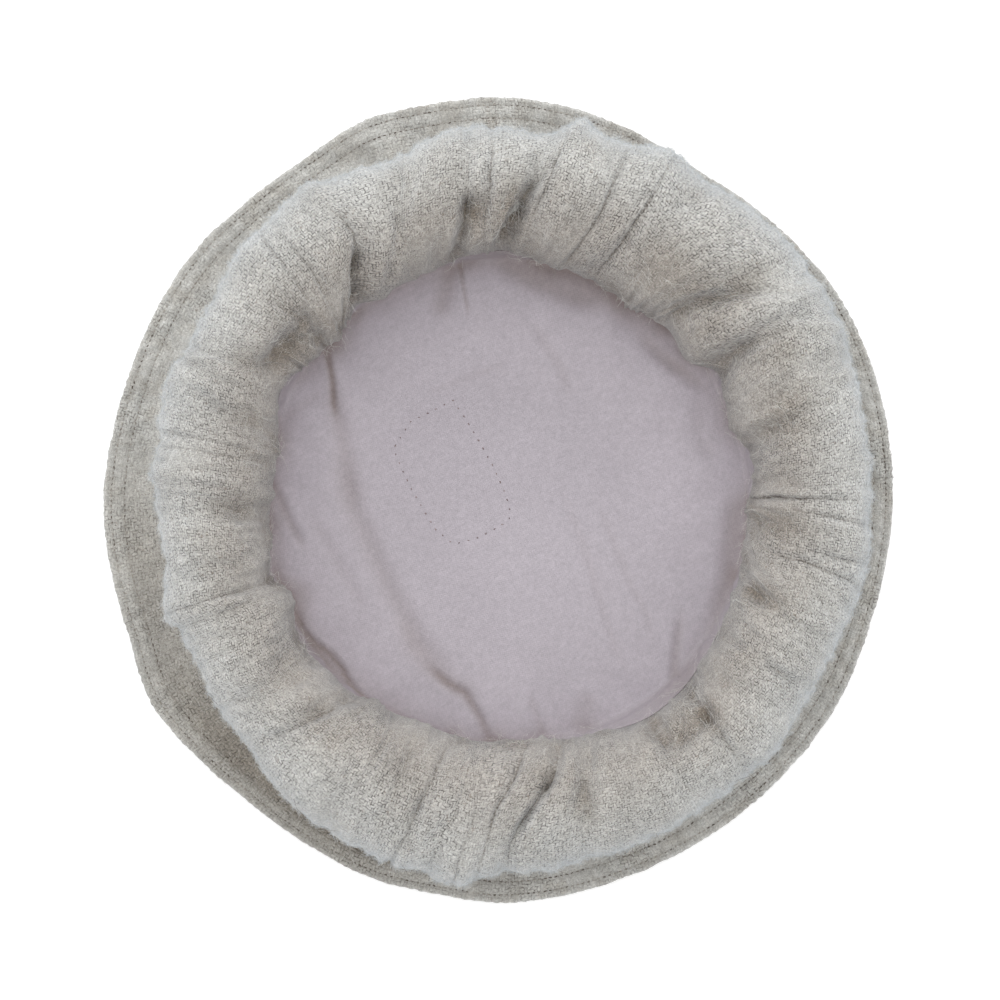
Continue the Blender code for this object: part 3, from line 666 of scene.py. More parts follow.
@dataclass(frozen=True)
class CottonFinish:
    """Thin plain-woven cotton."""

    name: str
    colour: Colour
    slub: Colour
    # Tint of the painted shade on the lining.
    shade_and_soil: Colour = (0.58, 0.53, 0.475)
    thread: float = 0.5  # mm from thread to thread
    wander: float = 0.8
    relief: float = 0.12  # mm

    def material(self, plain: bpy.types.NodeTree) -> bpy.types.Material:
        """Makes the finish.

        Args:
            plain: The group that gives the weave.

        Returns:
            The material. It reads the cloth's map, the attribute crease, which carries painted shade, and the
            attribute for painted light.
        """
        surface = Surface(self.name, self.colour, {
            "Roughness": 0.85, "Specular IOR Level": 0.3, "Sheen Weight": 0.15, "Sheen Tint": (0.9, 0.88, 1.0)})
        weave = surface.weave(plain, self.thread, self.wander)
        slub, height = weave.also("Slub"), weave.also("Height")
        crease, painted_light = surface.attributes("crease", "painted_light")
        mottle = surface.patches(28.0, 0.3, 0.7, 0.98, 1.02, 3.0)
        mottle = mottle * surface.patches(330.0, 0.3, 0.7, 0.955, 1.045, 4.0, 0.75)
        # Painted light: the threads' crests a little lighter than the dips, and the outer floor lighter by its
        # painted light.
        mottle = mottle * surface.ramp(height, 0.0, 1.0, 0.96, 1.04) * (painted_light * 0.2 + 1.0)
        woven = surface.mix(slub * 0.5 + 0.5, self.slub, self.colour)
        woven = woven * surface.mix(crease, WHITE, self.shade_and_soil)
        return surface.dress({"Base Color": woven * mottle,
                              "Normal": surface.relief(slub * 0.5 + height, self.relief, 0.35)})


@dataclass(frozen=True)
class StrandFinish:
    """Loose wool or sewing thread, varied a little in tone from place to place."""

    name: str
    pale: Colour
    dark: Colour
    grain: float = 900.0  # changes of tone for each metre

    def material(self) -> bpy.types.Material:
        """Makes the finish."""
        surface = Surface(self.name, self.pale, {"Roughness": 0.7, "Specular IOR Level": 0.25})
        return surface.dress({"Base Color": surface.mix(surface.patches(self.grain, 0.35, 0.65),
                                                        self.dark, self.pale)})


def polar(centre: Sequence[float], azimuth: np.ndarray, radius: np.ndarray, height: np.ndarray) -> np.ndarray:
    """Places points round a centre in mm, with a last axis of three."""
    angle = np.radians(azimuth)
    return np.stack(np.broadcast_arrays(centre[0] + radius * np.cos(angle), centre[1] + radius * np.sin(angle),
                                        height), axis=-1)


def hat_middle() -> np.ndarray:
    """The middle of the crown's outline, where the hat's origin lies, in mm about the crown's polar centre."""
    rim = polar(ORIGIN, even_azimuths(64), CROWN_EDGE.radius(even_azimuths(64)), 0.0)
    return (rim.min(axis=0) + rim.max(axis=0)) / 2.0


CROWN_CENTRE = -hat_middle()
MOUTH_CENTRE = CROWN_CENTRE + np.array((2.3, -0.4, 0.0))


def straight_chart(length: float, azimuth: np.ndarray, along: np.ndarray) -> np.ndarray:
    """Maps rings as straight lines of one length, each at its own place along the cloth."""
    across = np.append(azimuth, 360.0) * length / 360.0
    return np.stack(np.broadcast_arrays(across, along[:, None]), axis=-1)


def add_object(name: str, data: bpy.types.ID) -> bpy.types.Object:
    """Puts an object into the scene.

    Args:
        name: Its name.
        data: Its mesh, lamp or camera.

    Returns:
        The object, at the origin.
    """
    item = bpy.data.objects.new(name, data)
    bpy.context.scene.collection.objects.link(item)
    return item


def loft(name: str, rings: Sequence[np.ndarray], chart: np.ndarray, strides: Sequence[int],
         attributes: dict[str, np.ndarray], material: bpy.types.Material) -> bpy.types.Object:
    """Joins rings of points into a closed surface.

    Args:
        name: The piece's name.
        rings: Points round the hat, mm; the first and last are poles of one point, or join each other.
        chart: The cloth's map for each ring, with one place more than the ring has points.
        strides: For each ring, 1 to use every point, 2 every second one, and so on.
        attributes: Values for the points of the rings, by name.
        material: The finish.

    Returns:
        The piece.
    """
    count = max(map(len, rings))
    kept = [ring[::stride] for ring, stride in zip(rings, strides)]
    starts = np.cumsum([0] + [len(ring) for ring in kept]).tolist()
    chart = chart.tolist()
    faces = []
    spots = []
    for low in range(len(rings) if len(rings[0]) > 1 else len(rings) - 1):
        high = (low + 1) % len(rings)
        step = max(strides[low], strides[high])
        for k in range(0, count, step):
            face = []
            for place, columns in ((low, range(k + step, k - 1, -strides[low])),
                                   (high, range(k, k + step + 1, strides[high]))):
                for column in columns if len(rings[place]) > 1 else (0,):
                    face.append(starts[place] + column % count // strides[place])
                    spots.append(chart[place][column])
            faces.append(face)
    mesh = bpy.data.meshes.new(name)
    mesh.from_pydata(np.concatenate(kept) * MM, [], faces)
    mesh.uv_layers.new(name=CLOTH_MAP).data.foreach_set("uv", (np.array(spots) / UV_UNIT).ravel())
    for label, values in attributes.items():
        values = np.broadcast_to(values, (len(rings), count))
        values = [row[::stride][:len(ring)] for row, stride, ring in zip(values, strides, kept)]
        mesh.attributes.new(label, "FLOAT", "POINT").data.foreach_set("value", np.concatenate(values))
    mesh.materials.append(material)
    mesh.shade_smooth()
    mesh.validate()
    return add_object(name, mesh)


@dataclass
class RolledBrim:
    """The deep tube of wool, sewn on at the neck and rolled outward into a thick ring."""

    name: str = "wool_roll"
    cloth: float = WOOL
    neck_radius: float = NECK_RADIUS
    neck_height: float = 15.5
    middle_radius: float = 106.0
    half_width: float = 21.5
    height: float = 42.5
    half_height: float = 22.5
    wall_length: float = 19.0
    wall_turn: float = -20.0
    tuck_turn: float = 230.0
    inner_turn: float = 345.0
    tuck_inset: float = 5.4
    turn_inset: float = 1.8
    coil_share: float = 0.7
    puff: float = 1.5
    pucker: float = 0.3
    ripple: float = 0.45
    soft_reach: float = 3.0  # a crease that reaches as far is soft, mm
    sharp_span: float = 1.4  # one that reaches this much less is sharp, mm
    columns: int = 1000
    cloth_round: float = 650.0
    cloth_per_degree: float = 0.385

    def __post_init__(self) -> None:
        """Spaces the columns, closer together on the creases."""
        paths = np.array([crease.path for crease in CREASES])
        self.creases = paths[:, 2]
        self.shifts = paths - self.creases[:, None]
        self.depths = np.array([crease.depth for crease in CREASES])
        fine = np.arange(0.0, 360.0, 0.05)
        density = 1.0 + 2.2 * bell(turned_from(self.creases, fine[:, None]), 1.2).sum(axis=1)
        grown = np.append(0.0, np.cumsum(density))
        self.nominal = np.interp(even_azimuths(self.columns) * grown[-1] / 360.0, grown, np.append(fine, 360.0))

    def azimuths(self, theta: np.ndarray) -> np.ndarray:
        """The azimuth of each column at each angle round the roll, along the creases' slants."""
        shifts = [np.interp(self.nominal, self.creases, row, period=360.0) for row in self.shifts.T]
        return self.nominal + through(CREASE_THETAS, np.array(shifts), theta)

    def radii(self, theta: np.ndarray, inset: np.ndarray) -> tuple[np.ndarray, np.ndarray]:
        """Places the cloth on the roll's section.

        Args:
            theta: Angles round the roll.
            inset: How far inside the section's outline the cloth lies there, for each column.

        Returns:
            Radii and heights.
        """
        ends = self.azimuths(np.array((CREASE_THETAS[0], CREASE_THETAS[-1])))
        outer = ROLL_OUTER.radius(ends[0])
        inner = ROLL_INNER.radius(ends[1])
        angle = np.radians(theta)[:, None]
        radius = (outer + inner) / 2.0 + ((outer - inner) / 2.0 - inset) * np.cos(angle)
        return radius, self.height + (self.half_height - inset) * np.sin(angle)

    def drop(self, theta: np.ndarray) -> tuple[np.ndarray, ...]:
        """Works out how far creases and hollows draw the cloth in.

        Args:
            theta: Angles round the roll.

        Returns:
            For each angle and column: the depth in mm, the darkness of the shade painted along the nearest crease's
                line
            from 0 to 1, how far off that line is in mm, and how strong the brown shade painted in hollows and deep
            creases is, from 0 to 1.
        """
        theta = (theta + 90.0) % 360.0 - 90.0
        azimuth = self.azimuths(theta)
        centres = self.creases + through(CREASE_THETAS, self.shifts.T, theta)
        depths = np.maximum(through(CREASE_THETAS, self.depths.T, theta), 0.0)
        theta = theta[:, None]
        fade = rise(theta, -50.0, 62.0) * (1.0 - rise(theta, 160.0, 44.0))
        middle = self.middle_radius + self.half_width * np.cos(np.radians(theta))
        total, line, brown_shading = np.zeros((3, *azimuth.shape))
        nearest = np.full(azimuth.shape, 4.0)
        for place, crease in enumerate(CREASES):
            stray = 0.22 * np.sin(0.13 * theta + 2.1 * place) + 0.14 * np.sin(0.37 * theta + 1.3 * place)
            apart = np.radians(turned_from(centres[:, place, None], azimuth)) * middle + stray
            deep = depths[:, place, None] * (1.0 + 0.2 * np.sin(0.19 * theta + 1.9 * place))
            side = np.where(apart < 0.0, crease.before, crease.after)
            sharp = np.clip((self.soft_reach - side) / self.sharp_span, 0.0, 1.0)
            reach = np.abs(apart) / side
            pinched = np.clip(1.0 - 0.55 * reach, 0.0, 1.0) ** 3.2
            total += deep * (sharp * pinched + (1.0 - sharp) * (1.0 - rise(0.62 * reach)))
            total -= 0.18 * deep * sharp * bell(reach - 1.1, 0.5)
            narrow = min(crease.before, crease.after)
            steepest = np.clip((self.soft_reach - narrow) / self.sharp_span, 0.0, 1.0)
            line = np.where(np.abs(apart) < nearest, steepest * np.minimum(deep / 1.6, 1.0), line)
            nearest = np.minimum(nearest, np.abs(apart))
        for hollow in HOLLOWS:
            height = (theta - hollow.theta) / hollow.half_theta
            reach = np.hypot(turned_from(hollow.azimuth, azimuth) / hollow.half_azimuth,
                             np.where(height < 0.0, height / hollow.roof, height))
            total += hollow.depth * (1.0 - rise(reach * 0.85))
            # Painted brown shade in each hollow, and more wherever the cloth is drawn in deeply.
            brown_shading += hollow.brown_shading * bell(reach)
        return (total * fade, np.clip(line * fade, 0.0, 1.0), nearest,
                np.clip(brown_shading + np.maximum(total - 2.5, 0.0) / 9.0, 0.0, 1.0))

    def swell(self, theta: np.ndarray) -> np.ndarray:
        """Puffs the cloth out between creases, and ripples it.

        Args:
            theta: Angles round the roll.

        Returns:
            Rises in mm, for each angle and column.
        """
        bounds = np.append(self.creases, self.creases[0] + 360.0)
        shifted = (self.nominal - bounds[0]) % 360.0 + bounds[0]
        place = np.clip(np.searchsorted(bounds, shifted, side="right") - 1, 0, len(bounds) - 2)
        gap = np.diff(bounds)[place]
        share = (shifted - bounds[place]) / gap
        puffs = self.puff * np.sin(np.pi * share) ** 0.7 * np.minimum(1.0, gap / 12.0)
        theta = theta[:, None]
        turn = self.nominal / 360.0
        along = theta * self.cloth_per_degree
        ripple = self.pucker * waves(11, turn, along, (4.5, 11.0), 0.25)
        ripple = ripple + self.ripple * waves(12, turn, along, (16.0, 40.0), 0.5)
        return (puffs * np.clip(np.sin(np.radians(theta + 15.0)), 0.0, 1.0)
                + ripple * rise(theta, -70.0, 40.0) * (1.0 - rise(theta, 185.0, 15.0)))

    def wall(self, shares: Sequence[float], behind: float) -> np.ndarray:
        """Places the wall between the roll and the neck's seam.

        Args:
            shares: Shares of the way down from the roll.
            behind: How far behind the cloth's outer face.

        Returns:
            One ring of points for each share.
        """
        theta = np.array([180.0 - self.wall_turn])
        radius, height = self.radii(theta, self.drop(theta)[0] + behind)
        share = np.array(shares)[:, None]
        radius = radius + (self.neck_radius + behind - radius) * rise(share)
        return polar(MOUTH_CENTRE, self.azimuths(theta), radius, height + (self.neck_height - height) * share)

    def face(self, turned: np.ndarray, behind: float = 0.0, hidden: bool = True) -> tuple[np.ndarray, ...]:
        """Places the rolled cloth.

        Args:
            turned: Degrees wound from the mouth's side over the top.
            behind: How far behind the cloth's outer face.
            hidden: Whether the cloth lies unseen inside the roll, where it keeps clear of the seen face.

        Returns:
            Rings of points, and what drop gives at each but the depth.
        """
        theta = 180.0 - turned
        depth, *marks = self.drop(theta)
        if hidden:
            depth = np.max([np.roll(depth, shift, axis=1) for shift in range(-4, 5)], axis=0)
        share = np.where(turned > self.inner_turn, self.coil_share, 1.0)[:, None]
        wound = self.tuck_inset * rise(turned, self.tuck_turn, self.inner_turn - self.tuck_turn)
        wound = wound + self.turn_inset * np.maximum(0.0, turned - self.inner_turn) / 360.0
        swell = 0.0 if hidden else self.swell(theta) * (turned < 260.0)[:, None]
        radius, height = self.radii(theta, wound[:, None] + behind + depth * share - swell)
        return polar(MOUTH_CENTRE, self.azimuths(theta), radius, height), *marks

    def build(self, material: bpy.types.Material) -> bpy.types.Object:
        """Builds the roll with its wall.

        Args:
            material: The wool.

        Returns:
            The piece.
        """
        wall = np.array((1.0, 0.82, 0.64, 0.46, 0.3, 0.14))
        seen = np.linspace(self.wall_turn, 236.0, 76)
        under = np.linspace(246.0, 336.0, 9)
        coil = np.arange(360.0, 541.0, 30.0)
        back = np.arange(540.0, -21.0, -28.0)
        back_wall = np.array((0.3, 0.6, 1.0))
        seen_points, *seen_marks = self.face(seen, hidden=False)
        rings = np.concatenate((self.wall(wall, 0.0), seen_points, self.face(under)[0], self.face(coil)[0],
                                self.face(back, self.cloth)[0], self.wall(back_wall, self.cloth)))
        strides = [2] * len(wall) + [1] * len(seen) + [2] * len(under)
        strides += [4] * (len(rings) - len(strides))

        turned = np.concatenate((seen, under, coil, back)) * self.cloth_per_degree
        start = self.wall_turn * self.cloth_per_degree
        along = np.concatenate((start - self.wall_length * wall, turned, start - self.wall_length * back_wall))

        shown = slice(len(wall), len(wall) + len(seen))
        theta = np.full((len(rings), 1), -180.0)
        theta[:len(wall)] = 200.0
        theta[shown, 0] = 180.0 - seen
        marks = np.zeros((3, len(rings), self.columns))
        marks[:, shown] = seen_marks
        crisp = rise(theta, -5.0, 30.0) * (1.0 - 0.62 * rise(theta, 95.0, 60.0))
        uneven = 0.25 * waves(21, self.nominal / 360.0, theta * self.cloth_per_degree, (20.0, 60.0), 0.7)
        upper = 0.5 + 0.5 * np.cos(np.radians(self.nominal - 100.0))
        # Painted shade on the mouth side, deeper where that side faces away from the key light at azimuth 100.
        mouth_shade = 0.8 * rise(theta, 60.0, 70.0) + 0.35 * rise(theta, 138.0, 20.0) * upper
        # Painted shadow at the lip, in the gap where the roll meets the lining.
        lip = rise(theta, 151.0, 13.0) * (theta < 205.0) * bells(self.nominal, LIP_SHADES)
        # The band of painted rim highlight on the roll's outer side, fainter round azimuth 190; the halo strands
        # grow on it.
        halo = rise(theta, -42.0, 22.0) * (1.0 - rise(theta, 12.0, 42.0))
        halo = halo * (1.0 - 0.4 * bell(self.nominal - 190.0, 65.0))
        down = rise(theta, -60.0, 60.0) * (1.0 - 0.6 * rise(theta, 112.0, 34.0))
        values = {"crisp": np.clip(crisp + uneven * (theta > -90.0), 0.0, 1.0), "crease": marks[0],
                  "apart": marks[1], "brown_shade": np.maximum(marks[2], np.clip(lip, 0.0, 1.0)),
                  "mouth_shade": np.clip(mouth_shade, 0.0, 1.0), "halo": halo,
                  "down": down * (1.0 - rise(theta, 150.0, 20.0)),
                  "wisps": halo * (0.3 + bells(self.nominal, WISPS))}
        chart = straight_chart(self.cloth_round, self.nominal, along)
        return loft(self.name, rings, chart, strides, values, material)


@dataclass
class CrownUnderside:
    """The ring of wool from the rim in to the neck."""

    name: str = "wool_underside"
    cloth: float = WOOL
    neck_radius: float = NECK_RADIUS
    columns: int = 960
    shares: tuple[float, ...] = (0.0, 0.1, 0.22, 0.4, 0.62, 0.82, 0.93, 1.0)
    heights: tuple[float, ...] = (6.9, 6.5, 5.8, 7.6, 10.4, 13.6, 15.2, 15.2)
    width: float = 54.5  # from rim to neck
    cloth_radius: float = 132.0
    stitch_rows: tuple[float, ...] = (2.9, 7.5)
    stitch_reach: float = 0.8
    groove: float = 0.22
    # Painted shadow of the roll on the underside, strongest at the lower left: azimuths and strengths.
    shade_table: tuple[tuple[float, ...], ...] = ((168, 188, 206, 220, 246, 262, 278, 300, 330, 350),
                                              (0.0, 0.45, 0.45, 0.8, 1.0, 0.4, 0.1, 0.0, 0.0, 0.0))

    def smooth(self, azimuth: np.ndarray, inward: np.ndarray) -> np.ndarray:
        """Places points of the upper face as if the cloth were smooth.

        Args:
            azimuth: Degrees.
            inward: Mm in from the rim.

        Returns:
            The points.
        """
        share = inward / self.width
        edge = polar(CROWN_CENTRE, azimuth, CROWN_EDGE.radius(azimuth), 0.0)
        points = edge + (polar(MOUTH_CENTRE, azimuth, self.neck_radius, 0.0) - edge) * share[..., None]
        points[..., 2] = np.interp(share, self.shares, self.heights)
        return points

    def place(self, azimuth: np.ndarray, inward: np.ndarray) -> np.ndarray:
        """Places points of the upper face, with its ripples and the grooves of its stitches.

        Args:
            azimuth: Degrees.
            inward: Mm in from the rim.

        Returns:
            The points.
        """
        points = self.smooth(azimuth, inward)
        height = points[..., 2]
        turn = azimuth / 360.0
        still = 1.0 - rise(inward / self.width, 0.8, 0.15)
        height += 0.5 * waves(31, turn, inward, (14.0, 45.0), 0.6) * rise(inward, 2.0, 8.0) * still
        height += 0.22 * waves(32, turn, inward, (4.0, 9.0), 0.5) * still
        height -= self.groove * sum(bell(inward - row, self.stitch_reach) for row in self.stitch_rows)
        height += 0.1 * bell(inward - sum(self.stitch_rows) / 2.0, 1.5)
        return points

    def build(self, material: bpy.types.Material) -> bpy.types.Object:
        """Builds the ring.

        Args:
            material: The wool.

        Returns:
            The piece.
        """
        azimuth = even_azimuths(self.columns)
        turn = azimuth / 360.0
        upper = np.concatenate((np.linspace(self.width, 11.0, 24), np.linspace(10.3, 1.2, 14), (0.7, 0.3, 0.0)))
        lower = np.array((0.0, 0.4, 1.2, 5.0, 12.0, 21.8, 33.8, 44.7, 50.7, self.width))
        inward = np.concatenate((upper, lower))[:, None]
        front = np.repeat((1.0, 0.0), (len(upper), len(lower)))[:, None]
        rings = np.concatenate((self.place(azimuth, upper[:, None]),
                                self.smooth(azimuth, lower[:, None]) - (0.0, 0.0, self.cloth)))
        rings[..., 2] += (1.0 - 2.0 * front) * drawn_back(inward, self.cloth)
        bumps = 0.1 * waves(33, turn, 0.0, (2.0, 3.2), 0.0) + 0.1 * waves(34, turn, 0.0, (6.0, 18.0), 0.0)
        rings += polar(ORIGIN, azimuth, bumps * np.exp(-inward / 1.5), 0.0)
        strides = [1] * (len(upper) + 1) + [2] + [4] * (len(lower) - 2)
        radius = np.hypot(*(rings - MOUTH_CENTRE)[..., :2].transpose(2, 0, 1)).mean(axis=1)
        chart = straight_chart(math.tau * self.cloth_radius, azimuth, radius)
        # Painted shadow of the roll, stronger in from the rim; it also darkens the weave's gaps and adds dark
        # mottling there.
        shaded = np.interp(azimuth, *self.shade_table) * (0.35 + 0.65 * rise(inward, 2.0, 9.0))
        crisp = 0.4 + 0.2 * waves(35, turn, inward, (20.0, 60.0), 0.6) + 0.4 * shaded
        crease = 0.5 * shaded + 0.22 * sum(bell(inward - row, self.stitch_reach) for row in self.stitch_rows)
        values = {"crisp": np.clip(crisp, 0.0, 1.0), "crease": np.clip(crease * front, 0.0, 1.0),
                  "brown_shade": shaded * front, "down": front * (inward < 40.0)}
        return loft(self.name, rings, chart, strides, values, material)


@dataclass
class CrownTop:
    """The flat round top of the hat, which it lies on."""

    name: str = "wool_crown"
    cloth: float = WOOL
    columns: int = 960
    radius: float = 145.0
    rim_rise: float = 1.4
    flat_share: float = 0.92

    def build(self, material: bpy.types.Material) -> bpy.types.Object:
        """Builds the disc.

        Args:
            material: The wool.

        Returns:
            The piece.
        """
        azimuth = even_azimuths(self.columns)
        turn = azimuth / 360.0
        upper = (0.0, 0.5, 0.92, 0.965, 0.99, 0.997, 1.0)
        lower = (1.0, 0.998, 0.994, 0.985, 0.975, 0.965, 0.955, 0.945, 0.93, 0.915,
                 *np.linspace(0.89, 0.06, 22), 0.0)
        share = np.array(upper + lower)[:, None]
        above = np.repeat((1.0, 0.0), (len(upper), len(lower)))[:, None]
        inward = (1.0 - share) * self.radius
        height = self.rim_rise * np.interp(share, (0.0, self.flat_share, 0.965, 1.0), (0.0, 0.0, 0.35, 1.0))
        height = height + above * self.cloth + (1.0 - 2.0 * above) * drawn_back(inward, self.cloth)
        ripple = np.abs(0.12 * waves(41, turn, inward, (4.0, 12.0), 0.8)) * (1.0 - above) * (share > 0.0)
        bumps = 0.11 * waves(42, turn, 0.0, (2.2, 3.4), 0.0)
        radius = CROWN_EDGE.radius(azimuth) * share + bumps * np.exp(-(1.0 - share) * 80.0)
        rings = polar(CROWN_CENTRE, azimuth, radius, height + ripple)
        chart = np.append(rings, rings[:, :1], axis=1)[..., :2] + CHART_SHIFT
        strides = [1] + [1 if at > 0.98 else 4 for at in upper[1:]]
        strides += [1 if at > 0.55 else 2 if at > 0.25 else 4 for at in lower[:-1]] + [1]
        rings = [rings[0, :1], *rings[1:-1], rings[-1, :1]]
        return loft(self.name, rings, chart, strides, {"crisp": 0.55}, material)


@dataclass
class Lining:
    """The cotton lining: a flat floor over the crown and a low wall up the neck."""

    name: str = "cotton_lining"
    cloth: float = 1.0
    ease: float = 0.9
    floor: float = 6.4
    corner: float = 9.5
    corner_radius: float = 89.3
    columns: int = 600
    grain_turn: float = 33.0  # degrees, of the cotton's threads
    top_share: float = 0.3
    # Where the painted shade under the roll's edge is stronger: azimuth, reach and strength.
    shade_table: tuple[tuple[float, float, float], ...] = (
        (75.0, 32.0, 0.5), (140.0, 12.0, 0.2), (212.0, 22.0, 0.36), (316.0, 9.0, 0.25))
    # Painted light: how much lighter the outer floor is made, by azimuth, where the roll's shade falls on it.
    painted_light: tuple[tuple[float, ...], ...] = ((0, 45, 80, 120, 180, 240, 290, 330, 360),
                                               (0.7, 1.2, 1.3, 0.95, 0.65, 0.35, 0.0, 0.0, 0.7))

    def edge_shade(self, azimuth: np.ndarray) -> np.ndarray:
        """How much shade is painted on the cotton under the roll's edge, from 0 to 1, at each azimuth."""
        return 0.2 + bells(azimuth, self.shade_table)

    def height(self, x: np.ndarray, y: np.ndarray) -> tuple[np.ndarray, np.ndarray]:
        """Works out the lining's height over the crown, with its pulls.

        Args:
            x: Mm about the middle of the hat.
            y: The same.

        Returns:
            Heights in mm, and how much shade is painted on each point, from 0 to 1: along the pulls, under the
            roll's edge and at the lip.
        """
        radius = np.hypot(x - MOUTH_CENTRE[0], y - MOUTH_CENTRE[1])
        azimuth = np.degrees(np.arctan2(y - MOUTH_CENTRE[1], x - MOUTH_CENTRE[0]))
        height = self.floor + (self.corner - self.floor) * (radius / self.corner_radius) ** 4
        shadow = np.zeros(height.shape)
        for pull in PULLS:
            nearest = np.full(height.shape, np.inf)
            reached = np.zeros(height.shape)
            spans = list(zip(pull.line, pull.line[1:]))
            total = sum(math.dist(*span) for span in spans)
            done = 0.0
            for (x0, y0), (x1, y1) in spans:
                length = math.hypot(x1 - x0, y1 - y0)
                t = np.clip(((x - x0) * (x1 - x0) + (y - y0) * (y1 - y0)) / length ** 2, 0.0, 1.0)
                away = np.hypot(x - x0 - t * (x1 - x0), y - y0 - t * (y1 - y0))
                reached = np.where(away < nearest, (done + t * length) / total, reached)
                nearest = np.minimum(nearest, away)
                done += length
            taper = rise(reached / 0.25) * rise((1.0 - reached) / 0.25)
            groove = bell(nearest, pull.width) * taper
            height = height + pull.depth * (0.5 * bell(nearest, 2.5 * pull.width) * taper - groove)
            # Painted shade along each pull's groove.
            shadow = shadow + pull.shade * groove
        ripple = waves(51, azimuth / 360.0, radius, (18.0, 60.0), 0.5)
        height = height + 0.35 * ripple * rise(radius, 45.0, 40.0)
        # Painted shadow under the roll's edge and at the lip, with a narrow dark line where the lining meets the
        # wool.
        inner = ROLL_INNER.radius(azimuth)
        clear = np.maximum(inner + 2.0 - radius, 0.0)
        shadow = shadow + self.edge_shade(azimuth) * bell(clear, 5.2)
        shadow = shadow + 0.45 * bells(azimuth, LIP_SHADES) * bell(clear, 2.8)
        shadow = shadow + 0.38 * bell(np.maximum(1.044 * inner - radius, 0.0), 1.3)
        return height, np.clip(shadow, 0.0, 1.0)

    def build(self, brim: RolledBrim, material: bpy.types.Material) -> bpy.types.Object:
        """Builds the lining inside the brim's wall.

        Args:
            brim: The rolled brim, which the lining is sewn to.
            material: The cotton.

        Returns:
            The piece.
        """
        azimuth = even_azimuths(self.columns)
        brim_azimuth = brim.azimuths(np.array([180.0 - brim.wall_turn]))[0]
        down = np.array((0.0, 0.0, self.cloth))

        def wall(share: float, behind: float) -> np.ndarray:
            """Reads one ring of the brim's wall at the lining's own columns."""
            x, y, z = (brim.wall([share], behind)[0] - MOUTH_CENTRE).T
            return polar(MOUTH_CENTRE, azimuth, *(np.interp(azimuth, brim_azimuth, values, period=360.0)
                                                  for values in (np.hypot(x, y), z)))

        edge = brim.neck_radius - self.ease - self.cloth
        floor_radii = np.append(0.0, np.linspace(1.5, edge * 0.985, 64))
        floor = polar(MOUTH_CENTRE, azimuth, floor_radii[:, None], 0.0)
        floor[..., 2], shadow = self.height(floor[..., 0], floor[..., 1])
        shares = np.array((0.97, 0.9, 0.8, 0.68, 0.56, 0.45, 0.37, self.top_share))
        tuck = rise((0.8 - shares) / 0.35)
        front_wall = np.array([wall(share, -(self.ease + self.cloth) * (1.0 - 0.72 * pull))
                               for share, pull in zip(shares, tuck)])
        gathers = 0.4 * waves(52, azimuth / 360.0, 0.0, (7.0, 26.0), 0.0) - 0.5
        front_wall += polar(ORIGIN, azimuth, gathers * (1.0 - tuck)[:, None], 0.0)
        hem = wall(self.top_share - 0.015, -0.08)
        back_wall = [wall(share, -self.ease * (1.0 - 0.88 * pull))
                     for share, pull in zip(shares[::-2], tuck[::-2])]
        lowest = np.min([np.roll(floor[..., 2], shift, axis=1) for shift in range(-2, 3)], axis=0)
        back_floor = floor[::-6].copy()
        back_floor[..., 2] = [lowest[max(ring - 5, 0):ring + 6].min(axis=0) - self.cloth
                              for ring in range(len(floor))[::-6]]
        middle = floor[0, :1]
        rings = [middle, *floor[1:], *front_wall, hem, *back_wall, *back_floor, middle - down]
        front = len(floor) + len(front_wall) + 1
        strides = [1] * front + [2] * (len(rings) - front - 1) + [1]

        steps = [np.linalg.norm(after[0] - before[0]) for before, after in zip(rings, rings[1:])]
        lengths = np.append(0.0, np.cumsum(steps))
        lengths[front:] = 2.0 * lengths[front - 1] - lengths[front:] + self.cloth
        chart = polar((CHART_SHIFT, CHART_SHIFT), np.append(azimuth, 360.0) - self.grain_turn,
                      np.maximum(lengths, 0.0)[:, None], 0.0)[..., :2]
        # Painted shade on the lining's wall, which lies under the roll.
        crease = np.clip(self.edge_shade(azimuth) + 0.14, 0.0, 1.0) * np.ones((len(rings), 1))
        crease[:len(floor)] = shadow
        # Painted light on the outer part of the floor.
        painted_light = np.zeros(crease.shape)
        painted_light[:len(floor)] = rise(floor_radii, 35.0, 35.0)[:, None] * np.interp(azimuth, *self.painted_light)
        LOG.info("lining: %d rings, developed radius %.0f mm", len(rings), lengths[front - 1])
        return loft(self.name, rings, chart, strides, {"crease": crease, "painted_light": painted_light}, material)


